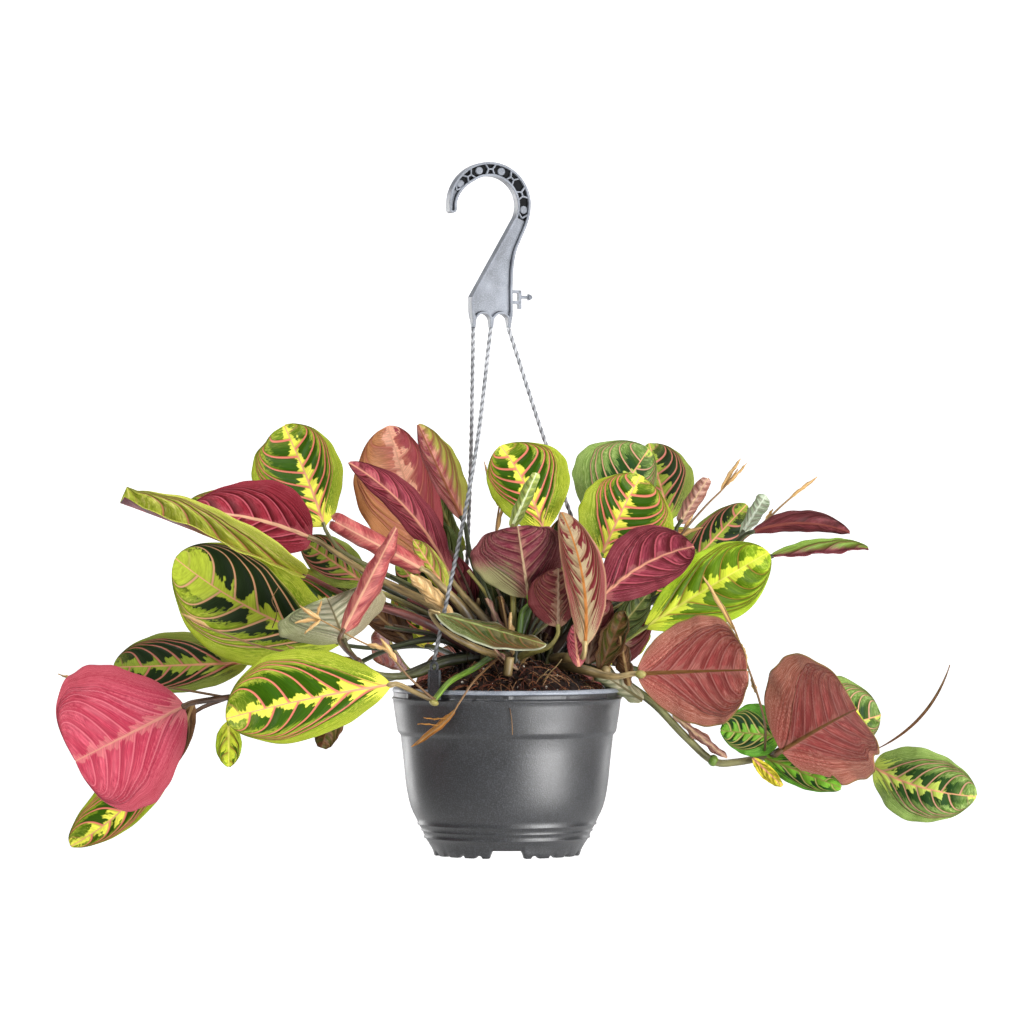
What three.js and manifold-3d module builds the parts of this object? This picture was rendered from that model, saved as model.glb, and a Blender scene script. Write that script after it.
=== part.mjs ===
// Potted prayer plant (maranta) in a hanging pot: pot, potting mix, hook, three cords with clips, stems, leaves.
// Millimetres, +Z up, +Y away from the viewer. The origin is the seat of the hook, where the hook rests on a rail.
import * as THREE from 'three';
import { mergeVertices } from 'three/addons/utils/BufferGeometryUtils.js';
import Module from 'manifold-3d';

const wasm = await Module();
wasm.setup();

// Driving sizes.
const potDiameter = 150;
const potHeight = 109;
const hookSeatToRim = 333;
const potAxisX = 12;
const gap = 0.3;

const potRadius = potDiameter / 2;
const wall = 1.8;

const group = new THREE.Group();
group.name = 'potted_prayer_plant';

const finishes = {
  potPlastic: { color: 0x3d3e40, roughness: 0.5, metalness: 0 },
  hookPlastic: { color: 0x7d838a, roughness: 0.45, metalness: 0 },
  clipPlastic: { color: 0x34363a, roughness: 0.5, metalness: 0 },
  cordPlastic: { color: 0x5d6369, roughness: 0.45, metalness: 0 },
  mix: { color: 0x33211a, roughness: 0.95, metalness: 0 },
  stem: { color: 0x7c8a3a, roughness: 0.55, metalness: 0 },
  upperLeaf: { color: 0x5f9130, roughness: 0.45, metalness: 0 },
  underLeaf: { color: 0xa03a52, roughness: 0.55, metalness: 0 },
};

function addNode(name, geometry, finish) {
  const material = new THREE.MeshStandardMaterial(finishes[finish]);
  const mesh = new THREE.Mesh(geometry, material);
  mesh.name = name;
  group.add(mesh);
}

// Plant places are written from the centre of the rim plane, and moved into the frame here.
function fromRim(x, y, z) {
  return new THREE.Vector3(x + potAxisX, y, z - hookSeatToRim);
}

function place(geometry) {
  geometry.translate(potAxisX, 0, -hookSeatToRim);
  return geometry;
}

function toSolid(geometry) {
  const bare = geometry.clone();
  bare.deleteAttribute('normal');
  bare.deleteAttribute('uv');
  const merged = mergeVertices(bare, 1e-4);
  const count = merged.attributes.position.count;
  const index = merged.index ? merged.index.array : [...Array(count).keys()];
  return new wasm.Manifold(new wasm.Mesh({
    numProp: 3,
    vertProperties: new Float32Array(merged.attributes.position.array),
    triVerts: new Uint32Array(index),
  }));
}

function toGeometry(solid) {
  const mesh = solid.getMesh();
  const geometry = new THREE.BufferGeometry();
  geometry.setAttribute('position', new THREE.BufferAttribute(new Float32Array(mesh.vertProperties), 3));
  geometry.setIndex(Array.from(mesh.triVerts));
  const flat = geometry.toNonIndexed();
  flat.computeVertexNormals();
  return flat;
}

function union(solids) {
  return solids.reduce((whole, next) => whole.add(next));
}

function tube(points, radius, steps, sides) {
  const ring = new THREE.Shape();
  for (let i = 0; i < sides; i++) {
    const angle = (i / sides) * 2 * Math.PI;
    const x = radius * Math.cos(angle);
    const y = radius * Math.sin(angle);
    if (i === 0) ring.moveTo(x, y);
    else ring.lineTo(x, y);
  }
  ring.closePath();
  const path = new THREE.CatmullRomCurve3(points, false, 'centripetal');
  return new THREE.ExtrudeGeometry(ring, { steps, extrudePath: path, bevelEnabled: false });
}

function lathe(profile, segments) {
  const points = profile.map(([r, z]) => new THREE.Vector2(r, z));
  const geometry = new THREE.LatheGeometry(points, segments);
  geometry.rotateX(Math.PI / 2);
  return geometry;
}

// Pot ---------------------------------------------------------------------------------------------------------

const rimLip = potRadius;
const bandRadius = potRadius * 0.948;
const bodyRadius = potRadius * 0.923;
const stepZ = -potHeight * 0.262;
const floorZ = -potHeight * 0.935;
const footRadius = potRadius * 0.655;

function buildPot() {
  const ridge = 0.9;
  const outer = [
    [footRadius - 4.5, -potHeight],
    [footRadius - 0.4, -potHeight],
    [footRadius + 0.6, -potHeight * 0.955],
    [footRadius + 4.4, -potHeight * 0.9],
    [footRadius + 4.4 + ridge, -potHeight * 0.895],
    [footRadius + 5.6, -potHeight * 0.855],
    [footRadius + 8.4, -potHeight * 0.822],
    [footRadius + 8.4 + ridge, -potHeight * 0.815],
    [potRadius * 0.795, -potHeight * 0.775],
    [potRadius * 0.836, -potHeight * 0.712],
    [potRadius * 0.868, -potHeight * 0.62],
    [potRadius * 0.89, -potHeight * 0.48],
    [bodyRadius, stepZ - 2.6],
    [bandRadius - 0.4, stepZ - 0.6],
    [bandRadius + 0.4, stepZ + 2],
    [potRadius * 0.982, -potHeight * 0.12],
    [rimLip - 0.4, -7.6],
    [rimLip, -6.6],
    [rimLip - 1.5, -6],
    [rimLip - 1.5, -3.1],
    [rimLip - 0.2, -2.6],
    [rimLip - 1.4, 0],
    [rimLip - 4, 0],
  ];
  const inner = [
    [rimLip - 4.4, -3],
    [potRadius * 0.982 - wall - 2, -potHeight * 0.12],
    [bodyRadius - wall, stepZ - 2.6],
    [potRadius * 0.868 - wall, -potHeight * 0.62],
    [potRadius * 0.836 - wall, -potHeight * 0.712],
    [potRadius * 0.76 - wall, -potHeight * 0.8],
    [footRadius + 3.4 - wall, -potHeight * 0.9],
    [footRadius - 2, floorZ + wall],
    [0, floorZ + wall],
    [0, floorZ],
    [footRadius - 5.2, floorZ],
  ];
  const profile = [...outer, ...inner];
  profile.push(profile[0]);
  let pot = toSolid(lathe(profile, 40));
  if (pot.volume() < 0) throw new Error('pot profile runs the wrong way');
  const mainNotch = potRadius * 0.29;
  const smallNotch = 5.5;
  for (let i = 0; i < 4; i++) {
    const wide = wasm.Manifold.cube([mainNotch, 16, 5.6], true);
    pot = pot.subtract(wide.translate([0, -footRadius, -potHeight + 2.4]).rotate([0, 0, i * 90]));
    for (const side of [-37, -22, 22, 37]) {
      const scallop = wasm.Manifold.cylinder(16, smallNotch / 2, smallNotch / 2, 8, true).rotate([90, 0, 0]);
      const cut = scallop.translate([0, -footRadius, -potHeight - 0.9]).rotate([0, 0, i * 90 + side]);
      pot = pot.subtract(cut);
    }
  }
  const drainRing = footRadius * 0.68;
  for (let i = 0; i < 8; i++) {
    const hole = wasm.Manifold.cylinder(12, 4, 4, 12, true).translate([drainRing, 0, floorZ + 1]);
    pot = pot.subtract(hole.rotate([0, 0, 22.5 + i * 45]));
  }
  addNode('pot', place(toGeometry(pot)), 'potPlastic');
}

// Potting mix -------------------------------------------------------------------------------------------------

const moundTop = 21;
const mixRadius = potRadius - 5.2;

function moundHeight(radius) {
  const share = 1 - (radius / mixRadius) ** 2;
  return -5 + (moundTop + 5) * Math.max(share, 0) ** 1.5;
}

function buildMix() {
  const profile = [[0, floorZ + wall + gap]];
  profile.push([footRadius - 2.8, floorZ + wall + gap]);
  profile.push([footRadius + 2.6 - wall, -potHeight * 0.895]);
  profile.push([potRadius * 0.75 - wall, -potHeight * 0.8]);
  profile.push([potRadius * 0.82 - wall, -potHeight * 0.712]);
  profile.push([potRadius * 0.855 - wall, -potHeight * 0.62]);
  profile.push([bodyRadius - wall - 0.8, stepZ - 2.6]);
  profile.push([mixRadius - 1, -potHeight * 0.12]);
  profile.push([mixRadius, -6.5]);
  const rings = 7;
  for (let i = 0; i < rings; i++) {
    const radius = mixRadius * (1 - i / rings);
    profile.push([radius, moundHeight(radius)]);
  }
  profile.push([0, moundTop]);
  addNode('potting_mix', place(lathe(profile, 30)), 'mix');
}

// Hook --------------------------------------------------------------------------------------------------------

const hookThickness = 8;
const hookInner = 19;
const hookBand = 9.2;
const hookYaw = THREE.MathUtils.degToRad(20);
const hookFoot = -98;

function arcPoints(radius, from, to, steps) {
  const points = [];
  for (let i = 0; i <= steps; i++) {
    const angle = THREE.MathUtils.degToRad(from + ((to - from) * i) / steps);
    points.push([radius * Math.cos(angle), radius * Math.sin(angle) - hookInner]);
  }
  return points;
}

function extrudeFlat(points, thickness) {
  const shape = new THREE.Shape(points.map(([x, z]) => new THREE.Vector2(x, z)));
  const geometry = new THREE.ExtrudeGeometry(shape, { depth: thickness, bevelEnabled: false });
  geometry.translate(0, 0, -thickness / 2);
  geometry.rotateX(Math.PI / 2);
  return toSolid(geometry);
}

function hookOutline(inset) {
  const outer = hookInner + hookBand - inset;
  const inner = hookInner + inset;
  const outline = arcPoints(outer, 4 - inset, 186 - inset, 22);
  const tipMiddle = hookInner + hookBand / 2;
  const tipRadius = hookBand / 2 - inset;
  for (let i = 1; i < 6; i++) {
    const angle = Math.PI + (i / 6) * Math.PI;
    outline.push([-tipMiddle + tipRadius * Math.cos(angle), -hookInner - 3 + tipRadius * Math.sin(angle)]);
  }
  outline.push(...arcPoints(inner, 186 - inset, -24, 22));
  outline.push([-13 + inset * 1.1, -79]);
  outline.push([-12.6 + inset, -92 + inset]);
  outline.push([15.8 - inset, -92 + inset]);
  outline.push([15.4 - inset, -73]);
  outline.push([16.2 - inset, -57.7]);
  outline.push([18.2 - inset, -48.3]);
  outline.push([22 - inset, -39.4]);
  outline.push([26 - inset, -31.6]);
  return outline;
}

const lobeX = [-10.6, 1.6, 13.8];

function buildHook() {
  const flange = 2.2;
  const pocketDepth = 2.6;
  let hook = extrudeFlat(hookOutline(0), hookThickness);
  const pocket = extrudeFlat(hookOutline(flange), pocketDepth + 1);
  const pocketY = hookThickness / 2 - pocketDepth / 2 + 0.5;
  hook = hook.subtract(pocket.translate([0, -pocketY, 0]));
  hook = hook.subtract(pocket.translate([0, pocketY, 0]));
  for (const x of lobeX) {
    const leg = wasm.Manifold.cube([4.2, hookThickness - 2, 10], true).translate([x, 0, hookFoot + 5]);
    hook = hook.add(leg);
  }
  const bracket = wasm.Manifold.cube([7.4, 3, 1.6], true);
  hook = hook.add(bracket.translate([18.4, 0, -75]));
  hook = hook.add(bracket.translate([18.4, 0, -82]));
  hook = hook.add(wasm.Manifold.cube([1.6, 3, 8.6], true).translate([21.4, 0, -78.5]));
  const pin = wasm.Manifold.cylinder(6, 1, 1, 10, true).rotate([0, 90, 0]);
  hook = hook.add(pin.translate([24.6, 0, -78.5]));
  const barb = wasm.Manifold.cylinder(4, 2.6, 0.8, 12, true).rotate([0, 90, 0]);
  hook = hook.add(barb.translate([28.6, 0, -78.5]));
  const turned = hook.rotate([0, 0, THREE.MathUtils.radToDeg(hookYaw)]);
  addNode('hanger_hook', toGeometry(turned), 'hookPlastic');
}

// Cords and rim clips -----------------------------------------------------------------------------------------

const cordDiameter = 2.4;
const clipTop = 18;
const clipRadius = potRadius + gap + 1;
const cords = [
  { name: 'front', lobe: 1, angle: -127.5, sag: [4, -1] },
  { name: 'right', lobe: 2, angle: -7.5, sag: [-2, -2] },
  { name: 'back', lobe: 0, angle: 112.5, sag: [1, 3] },
];

function clipPoint(angle, radius, z) {
  const turn = THREE.MathUtils.degToRad(angle);
  return fromRim(radius * Math.cos(turn), radius * Math.sin(turn), z);
}

function buildCord(cord) {
  const x = lobeX[cord.lobe];
  const start = new THREE.Vector3(x * Math.cos(hookYaw), x * Math.sin(hookYaw), hookFoot - 3 * gap);
  const end = clipPoint(cord.angle, clipRadius, clipTop + 4 * gap);
  const middle = start.clone().lerp(end, 0.4);
  middle.x += cord.sag[0];
  middle.y += cord.sag[1];
  addNode(`cord_${cord.name}`, tube([start, middle, end], cordDiameter / 2, 38, 8), 'cordPlastic');
}

function buildClip(cord) {
  const width = 8.4;
  const outsideLeg = wasm.Manifold.cube([2, width, clipTop + 6.2], true);
  const bridge = wasm.Manifold.cube([8.8, width, 2], true);
  const insideLeg = wasm.Manifold.cube([1.4, width, 4.4], true);
  let clip = outsideLeg.translate([clipRadius, 0, (clipTop - 6.2) / 2]);
  clip = clip.add(bridge.translate([clipRadius - 3.4, 0, gap + 1]));
  clip = clip.add(insideLeg.translate([clipRadius - 7.1, 0, gap - 0.9]));
  const eye = wasm.Manifold.cylinder(6, 1.8, 1.8, 16, true).rotate([0, 90, 0]);
  clip = clip.subtract(eye.translate([clipRadius, 0, clipTop - 4.4]));
  const turned = clip.rotate([0, 0, cord.angle]);
  addNode(`clip_${cord.name}`, place(toGeometry(turned)), 'clipPlastic');
}

// Leaves ------------------------------------------------------------------------------------------------------
// Each leaf runs from its petiole end to its tip. Its halves are the left and right half widths as seen from the
// front. rise arches the midrib towards the upper side, bend moves it to the right, roll turns the blade about its
// own length, fold closes the two halves towards the upper side, curl rolls their edges further, twist turns the
// blade between base and tip, widest is where the blade is widest, blunt makes its ends squarer.

const leafDefaults = {
  shows: 'upper', rise: 0, bend: 0, roll: 0, fold: 6, curl: 0, twist: 0, widest: 0.5, blunt: 0.55, cells: 4,
};

const leaves = {
  leaf_lime_top_left: { from: [-119, -3, 105], to: [-147, 38, 171], halves: [35, 25], rise: -4, bend: 1, widest: 0.56,
    blunt: 0.5 },
  leaf_burgundy_left: { shows: 'under', from: [-126, -27, 97], to: [-209, -42, 114], halves: [18, 27],
    bend: 5, rise: 5, widest: 0.34, fold: -4, blunt: 0.72 },
  leaf_folded_long_left: { from: [-129, -52, 73], to: [-246, -84, 120], halves: [17, 25], fold: 72, roll: 24,
    rise: 2, blunt: 0.4 },
  leaf_lime_behind_left: { from: [-146, 38, 96], to: [-213, 52, 118], halves: [11, 21] },
  leaf_large_left: { from: [-108, -26, 29], to: [-215, -18, 84], halves: [39, 36], bend: -5, widest: 0.56, rise: -6, roll: 16 },
  leaf_dark_low_left: { from: [-169, -6, 16], to: [-258, 30, 12], halves: [18, 22], rise: 5 },
  leaf_pink_far_left: { shows: 'under', from: [-208, -36, -11], to: [-272, -108, -43], halves: [50, 52],
    rise: 6, widest: 0.57, blunt: 0.45 },
  leaf_lime_lowest_left: { from: [-213, -14, -27], to: [-286, 18, -105], halves: [13, 22], bend: -9 },
  leaf_lime_front_left: { from: [-74, -77, 4], to: [-178, -92, -17], halves: [27, 34], widest: 0.58, rise: 6, roll: 18 },
  leaf_small_hanging: { from: [-178, -62, -20], to: [-178, -60, -49], halves: [8.5, 8.5] },
  leaf_pale_under_left: { shows: 'under', from: [-104, -52, 31], to: [-114, -84, 59], halves: [38, 35], rise: 4 },
  leaf_pink_rolled: { shows: 'under', from: [-104, -98, 38], to: [-70, -94, 104], halves: [17, 17], curl: 90,
    cells: 6, roll: -10, widest: 0.44 },
  leaf_pink_tube: { shows: 'under', from: [-54, -38, 77], to: [-110, -62, 108], halves: [17, 17], curl: 166, fold: 0,
    blunt: 0.12, cells: 8, widest: 0.6 },
  leaf_peach_top: { shows: 'under', from: [-48, 4, 76], to: [-79, 50, 171], halves: [35, 20], rise: 6, widest: 0.6,
    blunt: 0.5 },
  leaf_burgundy_folded: { shows: 'under', from: [-37, -22, 73], to: [-102, -34, 146], halves: [10, 14], bend: 8,
    fold: 24 },
  leaf_pink_green_top: { shows: 'under', from: [-29, -12, 109], to: [-58, -2, 171], halves: [8, 15], fold: 20 },
  leaf_olive_narrow: { shows: 'under', from: [-30, 34, 83], to: [-50, 56, 136], halves: [5, 5] },
  leaf_lime_top_centre: { from: [24, -26, 101], to: [-4, -20, 157], halves: [23, 31], bend: 3, rise: -4,
    widest: 0.56 },
  leaf_young_rolled: { shows: 'under', from: [3, -44, 104], to: [19, -48, 139], halves: [11, 11], curl: 150, fold: 0,
    blunt: 0.25, cells: 6 },
  leaf_mauve_centre: { shows: 'under', from: [14, -40, 59], to: [7, -84, 105], halves: [33, 29], rise: 6 },
  leaf_crimson_low_centre: { shows: 'under', from: [33, -48, 40], to: [33, -56, 78], halves: [20, 12] },
  leaf_standing_centre: { shows: 'under', from: [50, -66, 29], to: [35, -78, 114], halves: [12, 15], bend: 6,
    rise: 3 },
  leaf_flopped_front: { from: [-45, -80, 50], to: [25, -94, 30], halves: [12, 13], roll: -52, fold: -10, curl: -26 },
  leaf_lime_right: { from: [61, -9, 85], to: [87, -8, 138], halves: [29, 38], rise: -3, roll: 14 },
  leaf_burgundy_right: { shows: 'under', from: [62, -34, 60], to: [120, -52, 92], halves: [24, 19], bend: -5,
    rise: 5 },
  leaf_grey_green_top: { from: [60, 14, 105], to: [94, 56, 156], halves: [37, 20], rise: -4 },
  leaf_dark_top_right: { from: [108, 48, 109], to: [95, 82, 160], halves: [15, 23], rise: -3 },
  leaf_pink_tube_right: { shows: 'under', from: [113, 8, 107], to: [131, 4, 136], halves: [13, 13], curl: 150,
    fold: 0, blunt: 0.2, cells: 6 },
  leaf_dark_right: { from: [104, 8, 63], to: [158, 38, 119], halves: [15, 18] },
  leaf_lime_bright_right: { from: [89, -22, 39], to: [169, -30, 88], halves: [23, 28], bend: -2, rise: -5,
    widest: 0.6, roll: -18 },
  leaf_rose_right: { shows: 'under', from: [84, -42, 10], to: [152, -96, 14], halves: [36, 36], rise: 6,
    widest: 0.54, blunt: 0.5 },
  leaf_rose_far_right: { shows: 'under', from: [178, -16, -41], to: [222, -88, -11], halves: [51, 44], rise: 7,
    widest: 0.47, blunt: 0.42 },
  leaf_green_behind_rose: { from: [192, 12, -35], to: [247, 44, -20], halves: [34, 18], fold: 2 },
  leaf_green_small_right: { from: [178, -4, -32], to: [139, -8, -28], halves: [15, 20], widest: 0.42 },
  leaf_grey_green_far_right: { from: [239, 0, -52], to: [302, -44, -69], halves: [25, 23], bend: 4, rise: 4 },
  leaf_spike_right: { shows: 'under', from: [241, 6, -41], to: [290, 14, 14], halves: [3, 3], bend: 8 },
  leaf_white_tube: { shows: 'under', from: [153, 0, 100], to: [169, 2, 125], halves: [10, 13], curl: 130, fold: 0,
    blunt: 0.2, cells: 6, widest: 0.7 },
  leaf_burgundy_long_right: { shows: 'under', from: [159, -12, 101], to: [221, -38, 101], halves: [9, 6], bend: -6,
    fold: 20 },
  leaf_folded_thin_right: { from: [172, 6, 85], to: [238, 36, 90], halves: [10, 7.5], fold: 54, roll: -30 },
  leaf_dark_middle_left: { from: [-92, 4, 67], to: [-134, 2, 96], halves: [14, 15] },
  leaf_back_left: { from: [-84, 92, 52], to: [-168, 138, 62], halves: [26, 26], rise: 8, roll: -30 },
  leaf_back_high: { from: [-28, 70, 90], to: [-88, 118, 128], halves: [24, 22], rise: 8, roll: -20 },
  leaf_back_right: { from: [64, 84, 66], to: [132, 138, 92], halves: [25, 25], rise: 8, roll: 20 },
  leaf_back_low: { shows: 'under', from: [6, 116, 8], to: [4, 172, -62], halves: [24, 24], rise: 8 },
  leaf_back_low_left: { shows: 'under', from: [-20, 108, 22], to: [-62, 172, -34], halves: [22, 22], rise: 8 },
};

function halfProfile(t, leaf) {
  const power = Math.log(0.5) / Math.log(leaf.widest);
  const swell = Math.max(Math.sin(Math.PI * t ** power), 0) ** leaf.blunt;
  return swell;
}

// The place on the leaf at t along it (0 base, 1 tip) and q across it (-1 left edge, 1 right edge).
function leafPoint(leaf, t, q) {
  const from = new THREE.Vector3(...leaf.from);
  const to = new THREE.Vector3(...leaf.to);
  const along = to.clone().sub(from).normalize();
  const viewer = new THREE.Vector3(0, -1, 0);
  const right = along.clone().cross(viewer).normalize();
  const facing = right.clone().cross(along).normalize();
  const turn = THREE.MathUtils.degToRad(leaf.roll + leaf.twist * (t - 0.5));
  const across = right.clone().multiplyScalar(Math.cos(turn)).addScaledVector(facing, -Math.sin(turn));
  const front = facing.clone().multiplyScalar(Math.cos(turn)).addScaledVector(right, Math.sin(turn));
  const upper = front.clone().multiplyScalar(leaf.shows === 'upper' ? 1 : -1);
  const arch = 4 * t * (1 - t);
  const point = from.clone().lerp(to, t);
  point.addScaledVector(right, leaf.bend * arch);
  point.addScaledVector(upper, leaf.rise * arch);
  const slope = leaf.rise * 4 * (1 - 2 * t);
  const length = from.distanceTo(to);
  const lifted = upper.clone().multiplyScalar(length).addScaledVector(along, -slope).normalize();
  const side = Math.sign(q);
  const half = Math.max(leaf.halves[q < 0 ? 0 : 1] * halfProfile(t, leaf), 0.9);
  const reach = Math.abs(q) * half;
  const fold = THREE.MathUtils.degToRad(leaf.fold);
  const curl = THREE.MathUtils.degToRad(leaf.curl) / half;
  let out = reach * Math.cos(fold);
  let up = reach * Math.sin(fold);
  if (Math.abs(curl) > 1e-6) {
    out = (Math.sin(fold + curl * reach) - Math.sin(fold)) / curl;
    up = (Math.cos(fold) - Math.cos(fold + curl * reach)) / curl;
  }
  point.addScaledVector(across, side * out);
  point.addScaledVector(lifted, up);
  return point;
}

function leafNormal(leaf, t, q) {
  const step = 0.02;
  const t0 = Math.max(t - step, 0);
  const t1 = Math.min(t + step, 1);
  const q0 = Math.max(q - step * 2, -1);
  const q1 = Math.min(q + step * 2, 1);
  const du = leafPoint(leaf, t1, q).sub(leafPoint(leaf, t0, q));
  const dv = leafPoint(leaf, t, q1).sub(leafPoint(leaf, t, q0));
  return dv.cross(du).normalize();
}

const leafThickness = 0.8;

function leafGeometry(leaf) {
  const rows = 6;
  const columns = leaf.cells;
  const faces = [];
  const vertices = [];
  const width = columns + 1;
  for (const side of [0.5, -0.5]) {
    for (let i = 0; i <= rows; i++) {
      const t = (1 - Math.cos((Math.PI * i) / rows)) / 2;
      for (let j = 0; j <= columns; j++) {
        const q = -1 + (2 * j) / columns;
        const normalT = Math.min(Math.max(t, 0.04), 0.96);
        const normal = leafNormal(leaf, normalT, q);
        const point = leafPoint(leaf, t, q).addScaledVector(normal, side * leafThickness);
        vertices.push(point.x, point.y, point.z);
      }
    }
  }
  const bottom = (rows + 1) * width;
  const quad = (a, b, c, d) => faces.push(a, b, c, a, c, d);
  for (let i = 0; i < rows; i++) {
    for (let j = 0; j < columns; j++) {
      const a = i * width + j;
      quad(a, a + 1, a + width + 1, a + width);
      quad(bottom + a, bottom + a + width, bottom + a + width + 1, bottom + a + 1);
    }
  }
  for (let i = 0; i < rows; i++) {
    const l = i * width;
    const r = l + columns;
    quad(l, l + width, bottom + l + width, bottom + l);
    quad(r + width, r, bottom + r, bottom + r + width);
  }
  for (let j = 0; j < columns; j++) {
    const top = rows * width + j;
    quad(j + 1, j, bottom + j, bottom + j + 1);
    quad(top, top + 1, bottom + top + 1, bottom + top);
  }
  const geometry = new THREE.BufferGeometry();
  geometry.setAttribute('position', new THREE.BufferAttribute(new Float32Array(vertices), 3));
  geometry.setIndex(faces);
  const solid = toSolid(geometry);
  if (solid.volume() < 0) {
    for (let i = 0; i < faces.length; i += 3) {
      [faces[i + 1], faces[i + 2]] = [faces[i + 2], faces[i + 1]];
    }
    geometry.setIndex(faces);
  }
  geometry.computeVertexNormals();
  return geometry;
}

// Shoots at the back: a stem with its own small leaves, all one piece.

const shoots = {
  shoot_back_left: {
    stem: [[-24, 34, 11], [-34, 52, 18], [-52, 84, 24], [-78, 112, 22], [-104, 132, 10]],
    leaves: [
      { from: [-52, 84, 24], to: [-62, 146, 72], halves: [20, 22], rise: 6, roll: -16 },
      { shows: 'under', from: [-78, 112, 22], to: [-92, 180, 14], halves: [20, 20], rise: 7 },
      { shows: 'under', from: [-104, 132, 10], to: [-148, 164, -24], halves: [19, 19], rise: 7 },
    ],
  },
  shoot_back_right: {
    stem: [[30, 28, 11.2], [44, 50, 14], [62, 84, 14], [88, 108, 8], [110, 122, -4]],
    leaves: [
      { from: [62, 84, 14], to: [84, 146, 52], halves: [20, 22], rise: 6, roll: 10 },
      { shows: 'under', from: [62, 84, 14], to: [48, 152, -36], halves: [18, 18], rise: 8 },
      { from: [88, 108, 8], to: [124, 164, 22], halves: [20, 20], rise: 7, roll: 16 },
      { shows: 'under', from: [110, 122, -4], to: [142, 158, -18], halves: [16, 16], rise: 5 },
    ],
  },
};

function buildShoot(name, shoot) {
  const stem = toSolid(tube(shoot.stem.map((p) => new THREE.Vector3(...p)), 2, 10, 6));
  const solids = shoot.leaves.map((leaf) => toSolid(leafGeometry({ ...leafDefaults, ...leaf })));
  addNode(name, place(toGeometry(union([stem, ...solids]))), 'upperLeaf');
}

// Stems -------------------------------------------------------------------------------------------------------
// A clump is one crown stub on the potting mix with the stems that leave it. A stem ends just short of its leaf.

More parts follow.
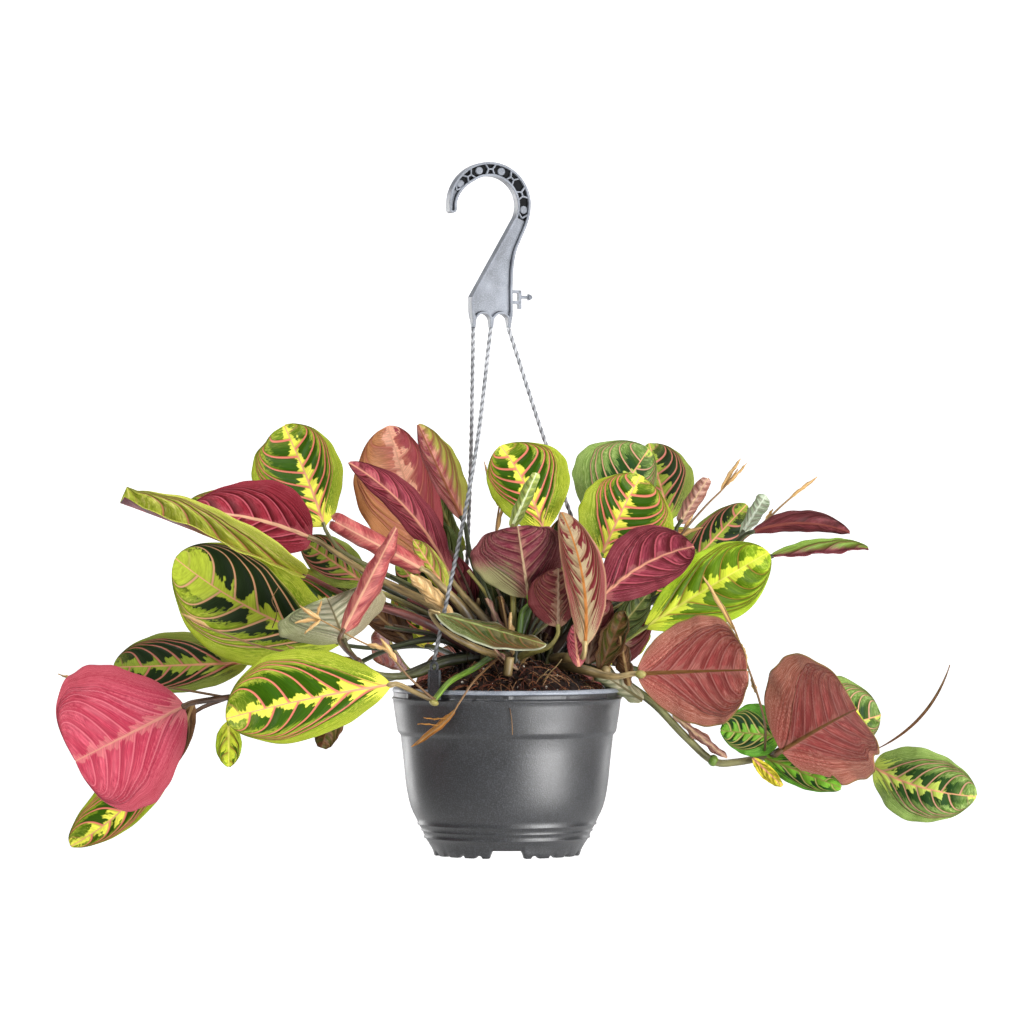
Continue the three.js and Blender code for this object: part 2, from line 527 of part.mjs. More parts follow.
const clumps = {
  stems_left: {
    crown: [-16, -14],
    stems: [
      { leaf: 'leaf_lime_top_left', via: [[-30, -10, 42], [-60, -8, 64], [-90, -7, 79], [-109, -6, 90]] },
      { leaf: 'leaf_burgundy_left', via: [[-40, -24, 48], [-91, -28, 75]], radius: 2 },
      { leaf: 'leaf_folded_long_left', via: [[-60, -38, 46], [-98, -48, 58]] },
      { leaf: 'leaf_large_left', via: [[-45, -24, 32], [-80, -26, 26]] },
      { via: [[-40, -14, 18], [-76, -13, 6], [-130, -13, -1], [-182, -18, -6]], radius: 2.2 },
      { leaf: 'leaf_dark_low_left', start: [-130, -13, -1], via: [[-152, -9, 6]] },
      { leaf: 'leaf_pink_far_left', start: [-180, -18, -6], via: [[-196, -27, -8]] },
      { leaf: 'leaf_lime_lowest_left', start: [-180, -18, -6], via: [[-200, -16, -14]] },
      { leaf: 'leaf_small_hanging', start: [-165, -16, -5], via: [[-174, -40, -8]], radius: 1 },
      { leaf: 'leaf_pale_under_left', via: [[-40, -26, 17], [-62, -37, 9], [-84, -46, 10], [-97, -50, 20]], radius: 2 },
      { leaf: 'leaf_pink_rolled', start: [-96, -49.5, 19], via: [[-104, -78, 28]] },
      { leaf: 'leaf_pink_tube', via: [[-26, -24, 48], [-42, -34, 66]], radius: 2 },
      { leaf: 'leaf_dark_middle_left', via: [[-40, 0, 40], [-70, 4, 56]] },
      { leaf: 'leaf_lime_behind_left', via: [[-46, 10, 46], [-100, 28, 74]] },
    ],
  },
  stems_centre: {
    crown: [4, -26],
    stems: [
      { leaf: 'leaf_peach_top', via: [[-16, -10, 40], [-36, 0, 60]] },
      { leaf: 'leaf_burgundy_folded', via: [[-12, -22, 42], [-28, -22, 60]], radius: 2 },
      { leaf: 'leaf_pink_green_top', via: [[-10, -18, 50], [-24, -14, 88]] },
      { leaf: 'leaf_lime_top_centre', via: [[14, -26, 50], [20, -26, 80]] },
      { leaf: 'leaf_young_rolled', via: [[4, -33, 60], [1, -40, 88]], radius: 1.2 },
      { leaf: 'leaf_mauve_centre', via: [[8, -34, 36], [10, -37, 50]] },
      { leaf: 'leaf_crimson_low_centre', via: [[16, -38, 24], [28, -46, 28]] },
      { leaf: 'leaf_flopped_front', via: [[-18, -50, 26], [-42, -66, 40]] },
      { via: [[-6, -34, 22], [-22, -44, 13], [-37, -62, 5], [-44, -69, -3], [-47, -72, -7]], radius: 2.2, steps: 9 },
      { leaf: 'leaf_lime_front_left', start: [-46, -71.5, -6], via: [[-58, -75, -1]], radius: 1.8 },
    ],
  },
  stems_right: {
    crown: [26, -10],
    stems: [
      { leaf: 'leaf_lime_right', via: [[40, -10, 44], [54, -12, 70]] },
      { leaf: 'leaf_grey_green_top', via: [[36, 4, 50], [52, 12, 84]] },
      { leaf: 'leaf_burgundy_right', via: [[40, -22, 36], [54, -30, 48]] },
      { leaf: 'leaf_pink_tube_right', via: [[60, 2, 46], [94, 6, 74], [110, 9, 95]] },
      { leaf: 'leaf_dark_right', via: [[60, 2, 36], [86, 6, 50]] },
      { leaf: 'leaf_lime_bright_right', via: [[54, -18, 18], [74, -20, 29]] },
      { leaf: 'leaf_standing_centre', via: [[38, -34, 20], [47, -54, 19]], radius: 2 },
      { leaf: 'leaf_white_tube', via: [[66, 1, 38], [120, 1, 73], [146, 0, 92]] },
      { leaf: 'leaf_burgundy_long_right', start: [140, 0, 87], via: [[150, -8, 95]] },
      { leaf: 'leaf_folded_thin_right', start: [132, 1, 81], via: [[154, 3, 84]] },
      { leaf: 'leaf_rose_right', via: [[50, -28, 12], [70, -38, 8]], radius: 2 },
      { via: [[52, -1, 13], [74, 1, 4.6], [84, 1, -2], [97, 1, -12], [117, 1, -33], [136, 1, -49], [150, 1, -49],
        [166, 0, -46], [178, -3, -43]], radius: 2.6, steps: 14 },
      { leaf: 'leaf_rose_far_right', start: [172, -1, -44.5], via: [[175, -9, -44]], radius: 1.8 },
      { leaf: 'leaf_green_small_right', start: [170, 0, -45], via: [[182, -2, -37]] },
      { leaf: 'leaf_green_behind_rose', start: [172, 0, -44], via: [[184, 8, -41]] },
      { leaf: 'leaf_grey_green_far_right', start: [172, -1, -44.5], via: [[200, 1, -50], [222, 0, -54]] },
      { leaf: 'leaf_spike_right', start: [222, 0, -54], via: [[233, 4, -48]], radius: 1.2 },
    ],
  },
  stems_back: {
    crown: [0, 20],
    stems: [
      { leaf: 'leaf_olive_narrow', via: [[-12, 26, 45], [-24, 32, 68]] },
      { leaf: 'leaf_dark_top_right', via: [[30, 32, 44], [70, 42, 74], [98, 46, 96]] },
      { leaf: 'leaf_back_high', via: [[-6, 36, 48], [-20, 60, 76]] },
      { leaf: 'leaf_back_left', via: [[-30, 48, 40], [-62, 80, 46]] },
      { leaf: 'leaf_back_right', via: [[24, 44, 42], [48, 72, 56]] },
      { leaf: 'leaf_back_low', via: [[4, 50, 24], [5, 84, 16], [6, 106, 12]] },
      { leaf: 'leaf_back_low_left', via: [[-6, 50, 26], [-14, 84, 26]] },
    ],
  },
};

function buildClump(name, clump) {
  const [x, y] = clump.crown;
  const radius = Math.hypot(x, y);
  const foot = moundHeight(Math.max(radius - 5, 0)) + gap;
  const stub = wasm.Manifold.cylinder(9, 5, 4, 10).translate([x, y, foot]);
  const centre = new THREE.Vector3(x, y, foot + 5);
  const parts = [stub];
  for (const stem of clump.stems) {
    const start = stem.start ? new THREE.Vector3(...stem.start) : centre;
    const points = [start, ...stem.via.map((p) => new THREE.Vector3(...p))];
    if (stem.leaf) {
      const leaf = { ...leafDefaults, ...leaves[stem.leaf] };
      const base = new THREE.Vector3(...leaf.from);
      const into = leafPoint(leaf, 0.12, 0).sub(base).normalize();
      points.push(base.clone().addScaledVector(into, -4));
      points.push(base.clone().addScaledVector(into, -0.6));
    }
    parts.push(toSolid(tube(points, stem.radius ?? 1.5, stem.steps ?? 5, 5)));
  }
  addNode(name, place(toGeometry(union(parts))), 'stem');
}

buildPot();
buildMix();
buildHook();
for (const cord of cords) {
  buildCord(cord);
  buildClip(cord);
}
for (const [name, leaf] of Object.entries(leaves)) {
  const whole = { ...leafDefaults, ...leaf };
  addNode(name, place(leafGeometry(whole)), whole.shows === 'upper' ? 'upperLeaf' : 'underLeaf');
}
for (const [name, shoot] of Object.entries(shoots)) {
  buildShoot(name, shoot);
}
for (const [name, clump] of Object.entries(clumps)) {
  buildClump(name, clump);
}

export default group;
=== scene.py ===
# Looks of a potted prayer plant (maranta) in a hanging pot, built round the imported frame.
# Metres, +Z up, +Y away from the viewer. Plant places are in millimetres from the centre of the pot's rim.
import math
import random

import bpy
import numpy as np
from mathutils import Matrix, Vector, noise


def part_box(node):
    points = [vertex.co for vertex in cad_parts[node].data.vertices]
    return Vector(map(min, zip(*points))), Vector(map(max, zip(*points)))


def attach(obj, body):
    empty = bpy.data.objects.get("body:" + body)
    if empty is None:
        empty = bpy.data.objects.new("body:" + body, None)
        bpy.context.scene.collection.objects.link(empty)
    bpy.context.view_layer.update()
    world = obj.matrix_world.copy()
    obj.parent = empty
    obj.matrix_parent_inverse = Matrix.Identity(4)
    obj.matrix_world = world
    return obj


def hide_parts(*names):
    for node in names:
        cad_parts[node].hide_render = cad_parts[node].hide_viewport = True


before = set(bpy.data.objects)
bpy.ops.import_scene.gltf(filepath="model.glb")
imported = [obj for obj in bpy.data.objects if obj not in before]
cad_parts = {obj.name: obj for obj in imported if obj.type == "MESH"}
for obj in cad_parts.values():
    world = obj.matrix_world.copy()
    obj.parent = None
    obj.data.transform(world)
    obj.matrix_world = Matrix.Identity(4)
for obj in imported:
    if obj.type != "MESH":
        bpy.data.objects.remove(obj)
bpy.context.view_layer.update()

mm = 0.001
potLow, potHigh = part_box("pot")
potRadius = (potHigh.x - potLow.x) / 2 / mm
potHeight = (potHigh.z - potLow.z) / mm
rimCentre = Vector(((potLow.x + potHigh.x) / 2, (potLow.y + potHigh.y) / 2, potHigh.z))

scene = bpy.context.scene
scene.view_settings.view_transform = "Standard"

cameraSetup = {
    "distance": 3.3,
    "lens": 177.9,
    "across": 0.0153,  # to the right of the hook seat
    "below": 0.2189,  # under the hook seat
}


def addCamera():
    lensData = bpy.data.cameras.new("studioCamera")
    lensData.lens = cameraSetup["lens"]
    lensData.sensor_width = 36
    camera = bpy.data.objects.new("studioCamera", lensData)
    camera.location = (cameraSetup["across"], -cameraSetup["distance"], -cameraSetup["below"])
    camera.rotation_euler = (math.radians(90), 0, 0)
    scene.collection.objects.link(camera)
    scene.camera = camera


addCamera()
print("camera set")


# Points from millimetres round the rim's centre to metres in the frame.
def fromRim(point):
    return rimCentre + Vector(point) * mm


def toFrame(points):
    return np.asarray(points, dtype=float) * mm + np.array(rimCentre)


# A smooth line through a few points, spaced as a centripetal spline is.
def smoothLine(points, steps):
    spots = [np.array(point, dtype=float) for point in points]
    last = len(spots) - 1
    line = []
    for i in range(steps + 1):
        place = last * i / steps
        cell = min(int(place), last - 1)
        w = place - cell
        p1 = spots[cell]
        p2 = spots[cell + 1]
        p0 = spots[cell - 1] if cell > 0 else 2 * p1 - p2
        p3 = spots[cell + 2] if cell + 2 <= last else 2 * p2 - p1
        d0 = max(np.linalg.norm(p1 - p0), 1e-6) ** 0.5
        d1 = max(np.linalg.norm(p2 - p1), 1e-6) ** 0.5
        d2 = max(np.linalg.norm(p3 - p2), 1e-6) ** 0.5
        out = ((p1 - p0) / d0 - (p2 - p0) / (d0 + d1) + (p2 - p1) / d1) * d1
        back = ((p2 - p1) / d1 - (p3 - p1) / (d1 + d2) + (p3 - p2) / d2) * d1
        cubic = (2 * p1 - 2 * p2 + out + back) * w**3
        square = (3 * p2 - 3 * p1 - 2 * out - back) * w**2
        line.append(p1 + out * w + square + cubic)
    return np.array(line)


# A spot on a circle round the origin, at an angle in radians.
def polar(radius, angle):
    return radius * math.cos(angle), radius * math.sin(angle)


def smoothStep(low, high, value):
    share = min(max((value - low) / (high - low), 0.0), 1.0)
    return share * share * (3 - 2 * share)


def lineLength(line):
    return float(np.linalg.norm(np.diff(line, axis=0), axis=1).sum())


# One mesh is gathered from many small shapes, with a tint and a spot for each of its points.
def newGather():
    return {"points": [], "faces": [], "finish": [], "count": 0, "tint": [], "spot": [], "facts": []}


def addShape(gather, points, faces, finish=0, tint=(1, 1, 1), spot=None, facts=None):
    count = len(points)
    first = gather["count"]
    gather["points"].append(np.asarray(points, dtype=float))
    for face in faces:
        gather["faces"].append([corner + first for corner in face])
    if np.ndim(finish) == 0:
        gather["finish"].extend([int(finish)] * len(faces))
    else:
        gather["finish"].extend(finish)
    tints = np.asarray(tint, dtype=float)
    gather["tint"].append(np.tile(tints, (count, 1)) if tints.ndim == 1 else tints)
    gather["spot"].append(np.zeros((count, 3)) if spot is None else spot)
    gather["facts"].append(np.zeros((count, 3)) if facts is None else facts)
    gather["count"] += count


# Turns a gather into an object, with its points already in metres.
def makePiece(name, gather, finishes, smooth):
    mesh = bpy.data.meshes.new(name)
    points = np.concatenate(gather["points"])
    mesh.from_pydata([tuple(point) for point in points], [], gather["faces"])
    for finish in finishes:
        mesh.materials.append(finish)
    mesh.polygons.foreach_set("material_index", gather["finish"])
    mesh.polygons.foreach_set("use_smooth", [smooth] * len(mesh.polygons))
    for label in ("tint", "spot", "facts"):
        layer = mesh.attributes.new(label, "FLOAT_VECTOR", "POINT")
        layer.data.foreach_set("vector", np.concatenate(gather[label]).astype(float).ravel())
    mesh.update()
    piece = bpy.data.objects.new(name, mesh)
    scene.collection.objects.link(piece)
    return piece


# The finished piece rides on the one body, and stands for the CAD nodes that it is given.
def settle(name, gather, finishes, slot, *nodes, smooth=True):
    piece = makePiece(name, gather, finishes, smooth)
    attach(piece, "root")
    if nodes:
        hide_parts(*nodes)
    return piece


# Faces between rings of points, where each ring closes on itself.
def ringFaces(rings, around):
    faces = []
    for i in range(rings - 1):
        for j in range(around):
            a = i * around + j
            b = i * around + (j + 1) % around
            faces.append([a, b, b + around, a + around])
    return faces


# The same with both ends closed.
def tubeFaces(rings, around):
    first = list(range(around))[::-1]
    last = [(rings - 1) * around + j for j in range(around)]
    return ringFaces(rings, around) + [first, last]


# A round or lobed tube along a line. Every size may be one number or one for each point of the line.
def addTube(gather, line, radius, sides=10, twist=0.0, lobes=0, lobeDepth=0.0, flat=1.0, **more):
    line = np.asarray(line, dtype=float)
    count = len(line)
    radii = np.broadcast_to(np.asarray(radius, dtype=float), (count,))
    turns = np.broadcast_to(np.asarray(twist, dtype=float), (count,))
    flats = np.broadcast_to(np.asarray(flat, dtype=float), (count,))
    ahead = np.gradient(line, axis=0)
    ahead /= np.maximum(np.linalg.norm(ahead, axis=1, keepdims=True), 1e-12)
    aside = np.cross(ahead[0], [0.0, 0.0, 1.0])
    if np.linalg.norm(aside) < 0.2:
        aside = np.cross(ahead[0], [1.0, 0.0, 0.0])
    angles = np.arange(sides) * 2 * math.pi / sides
    points = []
    for i in range(count):
        aside = aside - ahead[i] * np.dot(aside, ahead[i])
        aside /= max(np.linalg.norm(aside), 1e-12)
        other = np.cross(ahead[i], aside)
        swell = radii[i] * (1 - lobeDepth + lobeDepth * np.cos(lobes * angles)) if lobes else radii[i]
        turned = angles + turns[i]
        ring = np.outer(swell * np.cos(turned), aside) + np.outer(swell * flats[i] * np.sin(turned), other)
        points.extend(line[i] + ring)
    addShape(gather, points, tubeFaces(count, sides), **more)


def linear(hexColour):
    shades = [int(hexColour[i : i + 2], 16) / 255 for i in (0, 2, 4)]
    flat = [s / 12.92 if s <= 0.04045 else ((s + 0.055) / 1.055) ** 2.4 for s in shades]
    return (*flat, 1.0)


# Tints for a tube that runs from one colour to another, at each share of its length.
def tintsAlong(colours, shares, sides):
    a, b = (np.array(linear(colour)[:3]) for colour in colours)
    return np.repeat([a + (b - a) * share for share in shares], sides, axis=0)


# Where the painted crown shade lies: its middle and reach in millimetres round the rim's centre, and how
# dark it gets.
heart = {"middle": (0, 12, 24), "reach": (92, 62, 54), "shade": 0.16}


# Wires the nodes of one material. A value may be a number, a colour as hex, or another node's socket.
class Wiring:
    def __init__(self, name, roughness=0.5):
        self.material = bpy.data.materials.new(name)
        self.material.use_nodes = True
        self.tree = self.material.node_tree
        self.shader = self.tree.nodes["Principled BSDF"]
        self.shader.inputs["Roughness"].default_value = roughness
        self.place = self.add("ShaderNodeTexCoord").outputs["Object"]

    def add(self, kind, **settings):
        node = self.tree.nodes.new(kind)
        for key, value in settings.items():
            setattr(node, key, value)
        return node

    def feed(self, socket, value):
        if isinstance(value, bpy.types.NodeSocket):
            self.tree.links.new(value, socket)
        elif isinstance(value, str):
            socket.default_value = linear(value)
        else:
            socket.default_value = value

    def sum(self, operation, *values):
        node = self.add("ShaderNodeMath", operation=operation)
        for socket, value in zip(node.inputs, values):
            self.feed(socket, value)
        return node.outputs[0]

    def fade(self, value, low, high, toLow=0.0, toHigh=1.0):
        node = self.add("ShaderNodeMapRange", interpolation_type="SMOOTHSTEP")
        for socket, number in zip(node.inputs, (value, low, high, toLow, toHigh)):
            self.feed(socket, number)
        return node.outputs[0]

    def mix(self, share, first, second, blend="MIX"):
        node = self.add("ShaderNodeMix", data_type="RGBA", blend_type=blend)
        self.feed(node.inputs[0], share)
        self.feed(node.inputs[6], first)
        self.feed(node.inputs[7], second)
        return node.outputs[2]

    def parts(self, label):
        spot = self.add("ShaderNodeAttribute", attribute_name=label)
        split = self.add("ShaderNodeSeparateXYZ")
        self.feed(split.inputs[0], spot.outputs["Vector"])
        return split.outputs

    def tint(self):
        return self.add("ShaderNodeAttribute", attribute_name="tint").outputs["Color"]

    def join(self, x, y, z):
        node = self.add("ShaderNodeCombineXYZ")
        for socket, value in zip(node.inputs, (x, y, z)):
            self.feed(socket, value)
        return node.outputs[0]

    def grain(self, scale, detail=2.0, roughness=0.5, vector=None):
        node = self.add("ShaderNodeTexNoise")
        self.feed(node.inputs["Vector"], vector or self.place)
        node.inputs["Scale"].default_value = scale
        node.inputs["Detail"].default_value = detail
        node.inputs["Roughness"].default_value = roughness
        return node.outputs["Fac"]

    def cells(self, scale):
        node = self.add("ShaderNodeTexVoronoi")
        self.feed(node.inputs["Vector"], self.place)
        node.inputs["Scale"].default_value = scale
        return node.outputs["Distance"]

    def dim(self, body, shade):
        return self.mix(1.0, body, self.join(shade, shade, shade), "MULTIPLY")

    def colour(self, value):
        self.feed(self.shader.inputs["Base Color"], value)

    # Painted shade: darker deep inside the crown, where little light reaches between the stems.
    def paintedCrownShade(self, body):
        middle = fromRim(heart["middle"])
        away = []
        split = self.add("ShaderNodeSeparateXYZ")
        self.feed(split.inputs[0], self.place)
        for socket, centre, reach in zip(split.outputs, middle, heart["reach"]):
            offset = self.sum("DIVIDE", self.sum("SUBTRACT", socket, centre), reach * mm)
            away.append(self.sum("POWER", self.sum("ABSOLUTE", offset), 2.0))
        distance = self.sum("SQRT", self.sum("ADD", self.sum("ADD", away[0], away[1]), away[2]))
        return self.dim(body, self.fade(distance, 0.55, 1.2, heart["shade"], 1.0))

    def rough(self, value):
        self.feed(self.shader.inputs["Roughness"], value)

    def bump(self, height, strength, distance):
        node = self.add("ShaderNodeBump")
        node.inputs["Strength"].default_value = strength
        node.inputs["Distance"].default_value = distance
        self.feed(node.inputs["Height"], height)
        self.feed(self.shader.inputs["Normal"], node.outputs[0])


# Moulded plastic with a fine grain, faint cloudiness and a little dust.
def plasticFinish(name, look):
    wiring = Wiring(name)
    cloud = wiring.grain(look["cloud"], 3)
    body = wiring.mix(wiring.fade(cloud, 0.35, 0.7), look["dark"], look["light"])
    fleck = wiring.grain(look["grain"], 2)
    body = wiring.mix(wiring.fade(fleck, 0.42, 0.7, 0, look["fleck"]), body, look["dust"])
    specks = wiring.cells(look["specks"])
    body = wiring.mix(wiring.fade(specks, 0.07, 0.03, 0, look["dusty"]), body, look["dust"])
    wiring.colour(wiring.mix(1.0, body, wiring.tint(), "MULTIPLY"))
    wiring.rough(wiring.fade(cloud, 0.3, 0.7, look["shine"], look["shine"] + 0.12))
    wiring.bump(fleck, look["bump"], 0.00012)
    wiring.shader.inputs["Specular IOR Level"].default_value = look.get("gloss", 0.5)
    return wiring.material


cordSetup = {
    "diameter": 2.4,  # mm
    "swell": 1.2,  # how much fuller the twisted strands are than the plain cord
    "strands": 2,
    "lay": 10.5,  # mm of cord for each full twist
    "strandDepth": 0.14,
    "paintedFootShade": 0.68,  # how much darker the cord is painted towards its clip: painted shade, where it hangs low among the leaves
    "look": {
        "dark": "9c9fa4", "light": "c2c4c9", "dust": "e0e1e4", "cloud": 70, "grain": 2600, "fleck": 0.3,
        "specks": 300, "dusty": 0.1, "shine": 0.36, "bump": 0.15,
    },
}

hookYaw = math.radians(20)
lobeX = (-10.6, 1.6, 13.8)  # the three legs under the hook, mm
hookFoot = -98.0
gap = 0.3
clipTop = 18.0
clipRadius = potRadius + gap + 1
cords = {
    "front": {"lobe": 1, "angle": -127.5, "sag": (4, -1)},
    "right": {"lobe": 2, "angle": -7.5, "sag": (-2, -2)},
    "back": {"lobe": 0, "angle": 112.5, "sag": (1, 3)},
}


def cordEnds(cord):
    start = np.array([*polar(lobeX[cord["lobe"]], hookYaw), hookFoot - 3 * gap]) * mm
    end = fromRim((*polar(clipRadius, math.radians(cord["angle"])), clipTop + 4 * gap))
    return start, np.array(end)


def cordRoute(cord, steps):
    start, end = cordEnds(cord)
    middle = start + (end - start) * 0.4
    middle[0] += cord["sag"][0] * mm
    middle[1] += cord["sag"][1] * mm
    return smoothLine([start, middle, end], steps)


def buildCord(label, cord, finish):
    line = cordRoute(cord, 480)
    travelled = np.concatenate([[0], np.cumsum(np.linalg.norm(np.diff(line, axis=0), axis=1))])
    radius = cordSetup["diameter"] / 2 * mm
    sides = 24
    turns = travelled / (cordSetup["lay"] * mm) * 2 * math.pi
    angles = np.arange(sides) * 2 * math.pi / sides
    groove = 0.5 + 0.5 * np.cos(cordSetup["strands"] * angles)
    # The tints darken the grooves between the strands: painted shade.
    shades = np.tile(0.2 + 0.8 * groove**0.6, len(line))
    # Painted shade: the cord grows darker towards its clip.
    shades *= np.repeat(1 - cordSetup["paintedFootShade"] * np.linspace(0, 1, len(line)) ** 2, sides)
    gather = newGather()
    addTube(gather, line, radius * cordSetup["swell"], sides, turns, cordSetup["strands"],
            cordSetup["strandDepth"], tint=np.repeat(shades[:, None], 3, axis=1))
    rope = settle("rope_" + label, gather, [finish], "cord_plastic", "cord_" + label)
    route = cordRoute(cord, 38)
    lineLength(route)


cordFinish = plasticFinish("cordPlastic", cordSetup["look"])
for label, cord in cords.items():
    buildCord(label, cord, cordFinish)
print("cords twisted")


hookSetup = {
    "thickness": 8.0,
    "web": 2.8,
    "inner": 19.0,
    "band": 9.2,
    "border": 1.5,
    "tipSlim": 4.2,  # how much narrower the band is at its tip
    "bossAngles": (146, 108, 70, -6),
    "crossAngles": (127, 89, 49, 19),
    "look": {
        "dark": "646972", "light": "878c96", "dust": "b0b4bc", "cloud": 60, "grain": 2400, "fleck": 0.45,
        "specks": 260, "dusty": 0.15, "shine": 0.34, "bump": 0.12,
    },
    # The channel look is near-black: painted shade for the deep recess of the channel.
    "channelShadeLook": {
        "dark": "08090a", "light": "121416", "dust": "2a2d31", "cloud": 90, "grain": 2400, "fleck": 0.3,
        "specks": 260, "dusty": 0.1, "shine": 0.6, "bump": 0.12, "gloss": 0.15,
    },
}


# A spot on a circle round the hook's seat, at an angle in degrees.
def atArc(radius, angle):
    x, z = polar(radius, math.radians(angle))
    return x, z - hookSetup["inner"]


# How much nearer the outer edge the inner edge lies towards the tip.
def tipShift(angle):
    return hookSetup["tipSlim"] * smoothStep(118, 186, angle)


def hookOutline(inset):
    inner = hookSetup["inner"]
    outer = inner + hookSetup["band"]
    outline = [atArc(outer - inset, angle) for angle in np.linspace(4 - inset, 186 - inset, 65)]
    tipMiddle = inner + (hookSetup["band"] + hookSetup["tipSlim"]) / 2
    tipRadius = (hookSetup["band"] - hookSetup["tipSlim"]) / 2 - inset
    for i in range(1, 12):
        x, z = polar(tipRadius, math.pi + i / 12 * math.pi)
        outline.append((-tipMiddle + x, -inner - 3 + z))
    for angle in np.linspace(186 - inset, -24, 65):
        outline.append(atArc(inner + inset + tipShift(angle), angle))
    outline.append((-13 + inset * 1.1, -79))
    outline += archedFoot(inset)
    right = ((15.4, -73), (16.2, -57.7), (18.2, -48.3), (22, -39.4), (25.4, -31.6), (27.4, -24.6),
             (outer * 0.9976, -17.03))
    return outline + [(x - inset, z) for x, z in smoothLine(right, 22)[:-1]]


# A flat plate from closed outlines, with small rounded edges. Inner outlines are holes.
def plate(gather, outlines, thickness, edge, finish=0):
    data = bpy.data.curves.new("plateShape", "CURVE")
    data.dimensions = "2D"
    data.fill_mode = "BOTH"
    data.extrude = (thickness / 2 - edge) * mm
    data.bevel_depth = edge * mm
    data.bevel_resolution = 2
    data.offset = -edge * mm
    for outline in outlines:
        spline = data.splines.new("POLY")
        spline.points.add(len(outline) - 1)
        for point, (x, z) in zip(spline.points, outline):
            point.co = (x * mm, z * mm, 0, 1)
        spline.use_cyclic_u = True
    shape = bpy.data.objects.new("plateShape", data)
    mesh = bpy.data.meshes.new_from_object(shape)
    points = [(p.co.x, -p.co.z, p.co.y) for p in mesh.vertices]
    addShape(gather, points, [list(face.vertices) for face in mesh.polygons], finish)
    bpy.data.objects.remove(shape)
    bpy.data.curves.remove(data)
    bpy.data.meshes.remove(mesh)


# A straight bar between two places on the hook.
def addBar(gather, first, last, thickness, width=1.0):
    a = np.array(first, dtype=float)
    b = np.array(last, dtype=float)
    side = np.array([-(b - a)[1], (b - a)[0]])
    side = side / np.linalg.norm(side) * width / 2
    plate(gather, [[a - side, b - side, b + side, a + side]], thickness, 0.25)


# A spot on the curved band: across 0 is its inner border and 1 its outer border.
def onBand(across, angle):
    low = hookSetup["inner"] + hookSetup["border"] * 0.7 + tipShift(angle)
    high = hookSetup["inner"] + hookSetup["band"] - hookSetup["border"] * 0.7
    return atArc(low + (high - low) * across, angle)


def roundPlate(x, z, radius):
    spots = [polar(radius, angle) for angle in np.arange(28) * 2 * math.pi / 28]
    return [(x + across, z + up) for across, up in spots]


# The arched foot of the plate, where the three strands start. The inner lines stay above the legs.
def archedFoot(inset):
    left, middle, right = lobeX
    leg = 1.15
    reach = (middle - left) / 2 - leg
    solid = inset < 0.4
    spring = hookFoot + 3.4  # where each arch starts to curve
    line = [(-12.8 + inset, -88)]
    if solid:
        line += [(-12.5, -91), (left - leg - 0.2, -94), (left - leg, hookFoot - 0.6)]
    for start, end in ((left, middle), (middle, right)):
        centre = (start + end) / 2
        if solid:
            line.append((start + leg, hookFoot - 0.6))
        for i in range(25):
            angle = math.pi * (1 - i / 24)
            if not solid:
                angle = math.radians(28) + angle * 124 / 180
            across = (reach + inset * 0.8) * math.cos(angle)
            line.append((centre + across, spring + (reach + inset * 0.9) * max(math.sin(angle), 0)))
        if solid:
            line.append((end - leg, hookFoot - 0.6))
    if solid:
        line += [(right + leg, hookFoot - 0.6), (right + leg + 0.2, -94), (15.4, -91)]
    line.append((15.6 - inset, -88))
    return line


def buildHook(finish, channelShadeFinish):
    web = hookSetup["web"]
    border = hookSetup["border"]
    gather = newGather()
    plate(gather, [hookOutline(0.5)], web, 0.2)
    plate(gather, [hookOutline(0), hookOutline(border)], hookSetup["thickness"], 0.35)
    sweep = np.linspace(-22, 158, 61)
    # A near-black sheet laid over the channel, a little above the web: painted shade for the deep recess
    # between the borders.
    channel = [onBand(1, angle) for angle in sweep] + [onBand(0.06, angle) for angle in sweep[::-1]]
    plate(gather, [channel], web + 0.5, 0.1, 1)
    plate(gather, [hookOutline(border - 0.1), hookOutline(border + 0.4)], web + 0.16, 0.05, 1)  # painted shade: a dark line in the corner inside the border
    level = hookSetup["thickness"] - 1.2
    for angle in hookSetup["bossAngles"]:
        plate(gather, [roundPlate(*onBand(0.5, angle), 2.6)], level - 1.4, 0.5)
    for angle in hookSetup["crossAngles"]:
        bar = (onBand(0.5, angle - 3.4), onBand(0.5, angle + 3.4))
        addBar(gather, *bar, level)
        for end, away in zip(bar, (-8, 8)):
            for side in (0, 1):
                addBar(gather, end, onBand(side, angle + away), level)
    for angle, away in ((158, -9), (-20, 8)):
        for side in (0, 1):
            addBar(gather, onBand(0.5, angle), onBand(side, angle + away), level)
    for z in (-75, -82):  # the spigot that holds a label
        addBar(gather, (15.2, z), (21.8, z), 4, 1.9)
    addBar(gather, (21.2, -74.2), (21.2, -86.3), 4, 2.0)
    pin = [(x * mm, 0, -78.5 * mm) for x in (21.6, 27, 27.2, 28.6, 30, 30.5)]
    addTube(gather, pin, np.array([1.0, 1.0, 2.3, 1.9, 1.1, 0.3]) * mm, 16)
    for points in gather["points"]:
        x = points[:, 0].copy()
        slim = np.clip((-0.091 - points[:, 2]) / 0.008, 0, 1)  # the legs thin down to the strands
        y = points[:, 1] * (1 - 0.62 * slim)
        points[:, 0] = x * math.cos(hookYaw) - y * math.sin(hookYaw)
        points[:, 1] = x * math.sin(hookYaw) + y * math.cos(hookYaw)
    settle("mouldedHook", gather, [finish, channelShadeFinish], "hook_plastic", "hanger_hook", smooth=False)


hookFinish = plasticFinish("hookPlastic", hookSetup["look"])
buildHook(hookFinish, plasticFinish("hookChannelShade", hookSetup["channelShadeLook"]))
print("hook moulded")


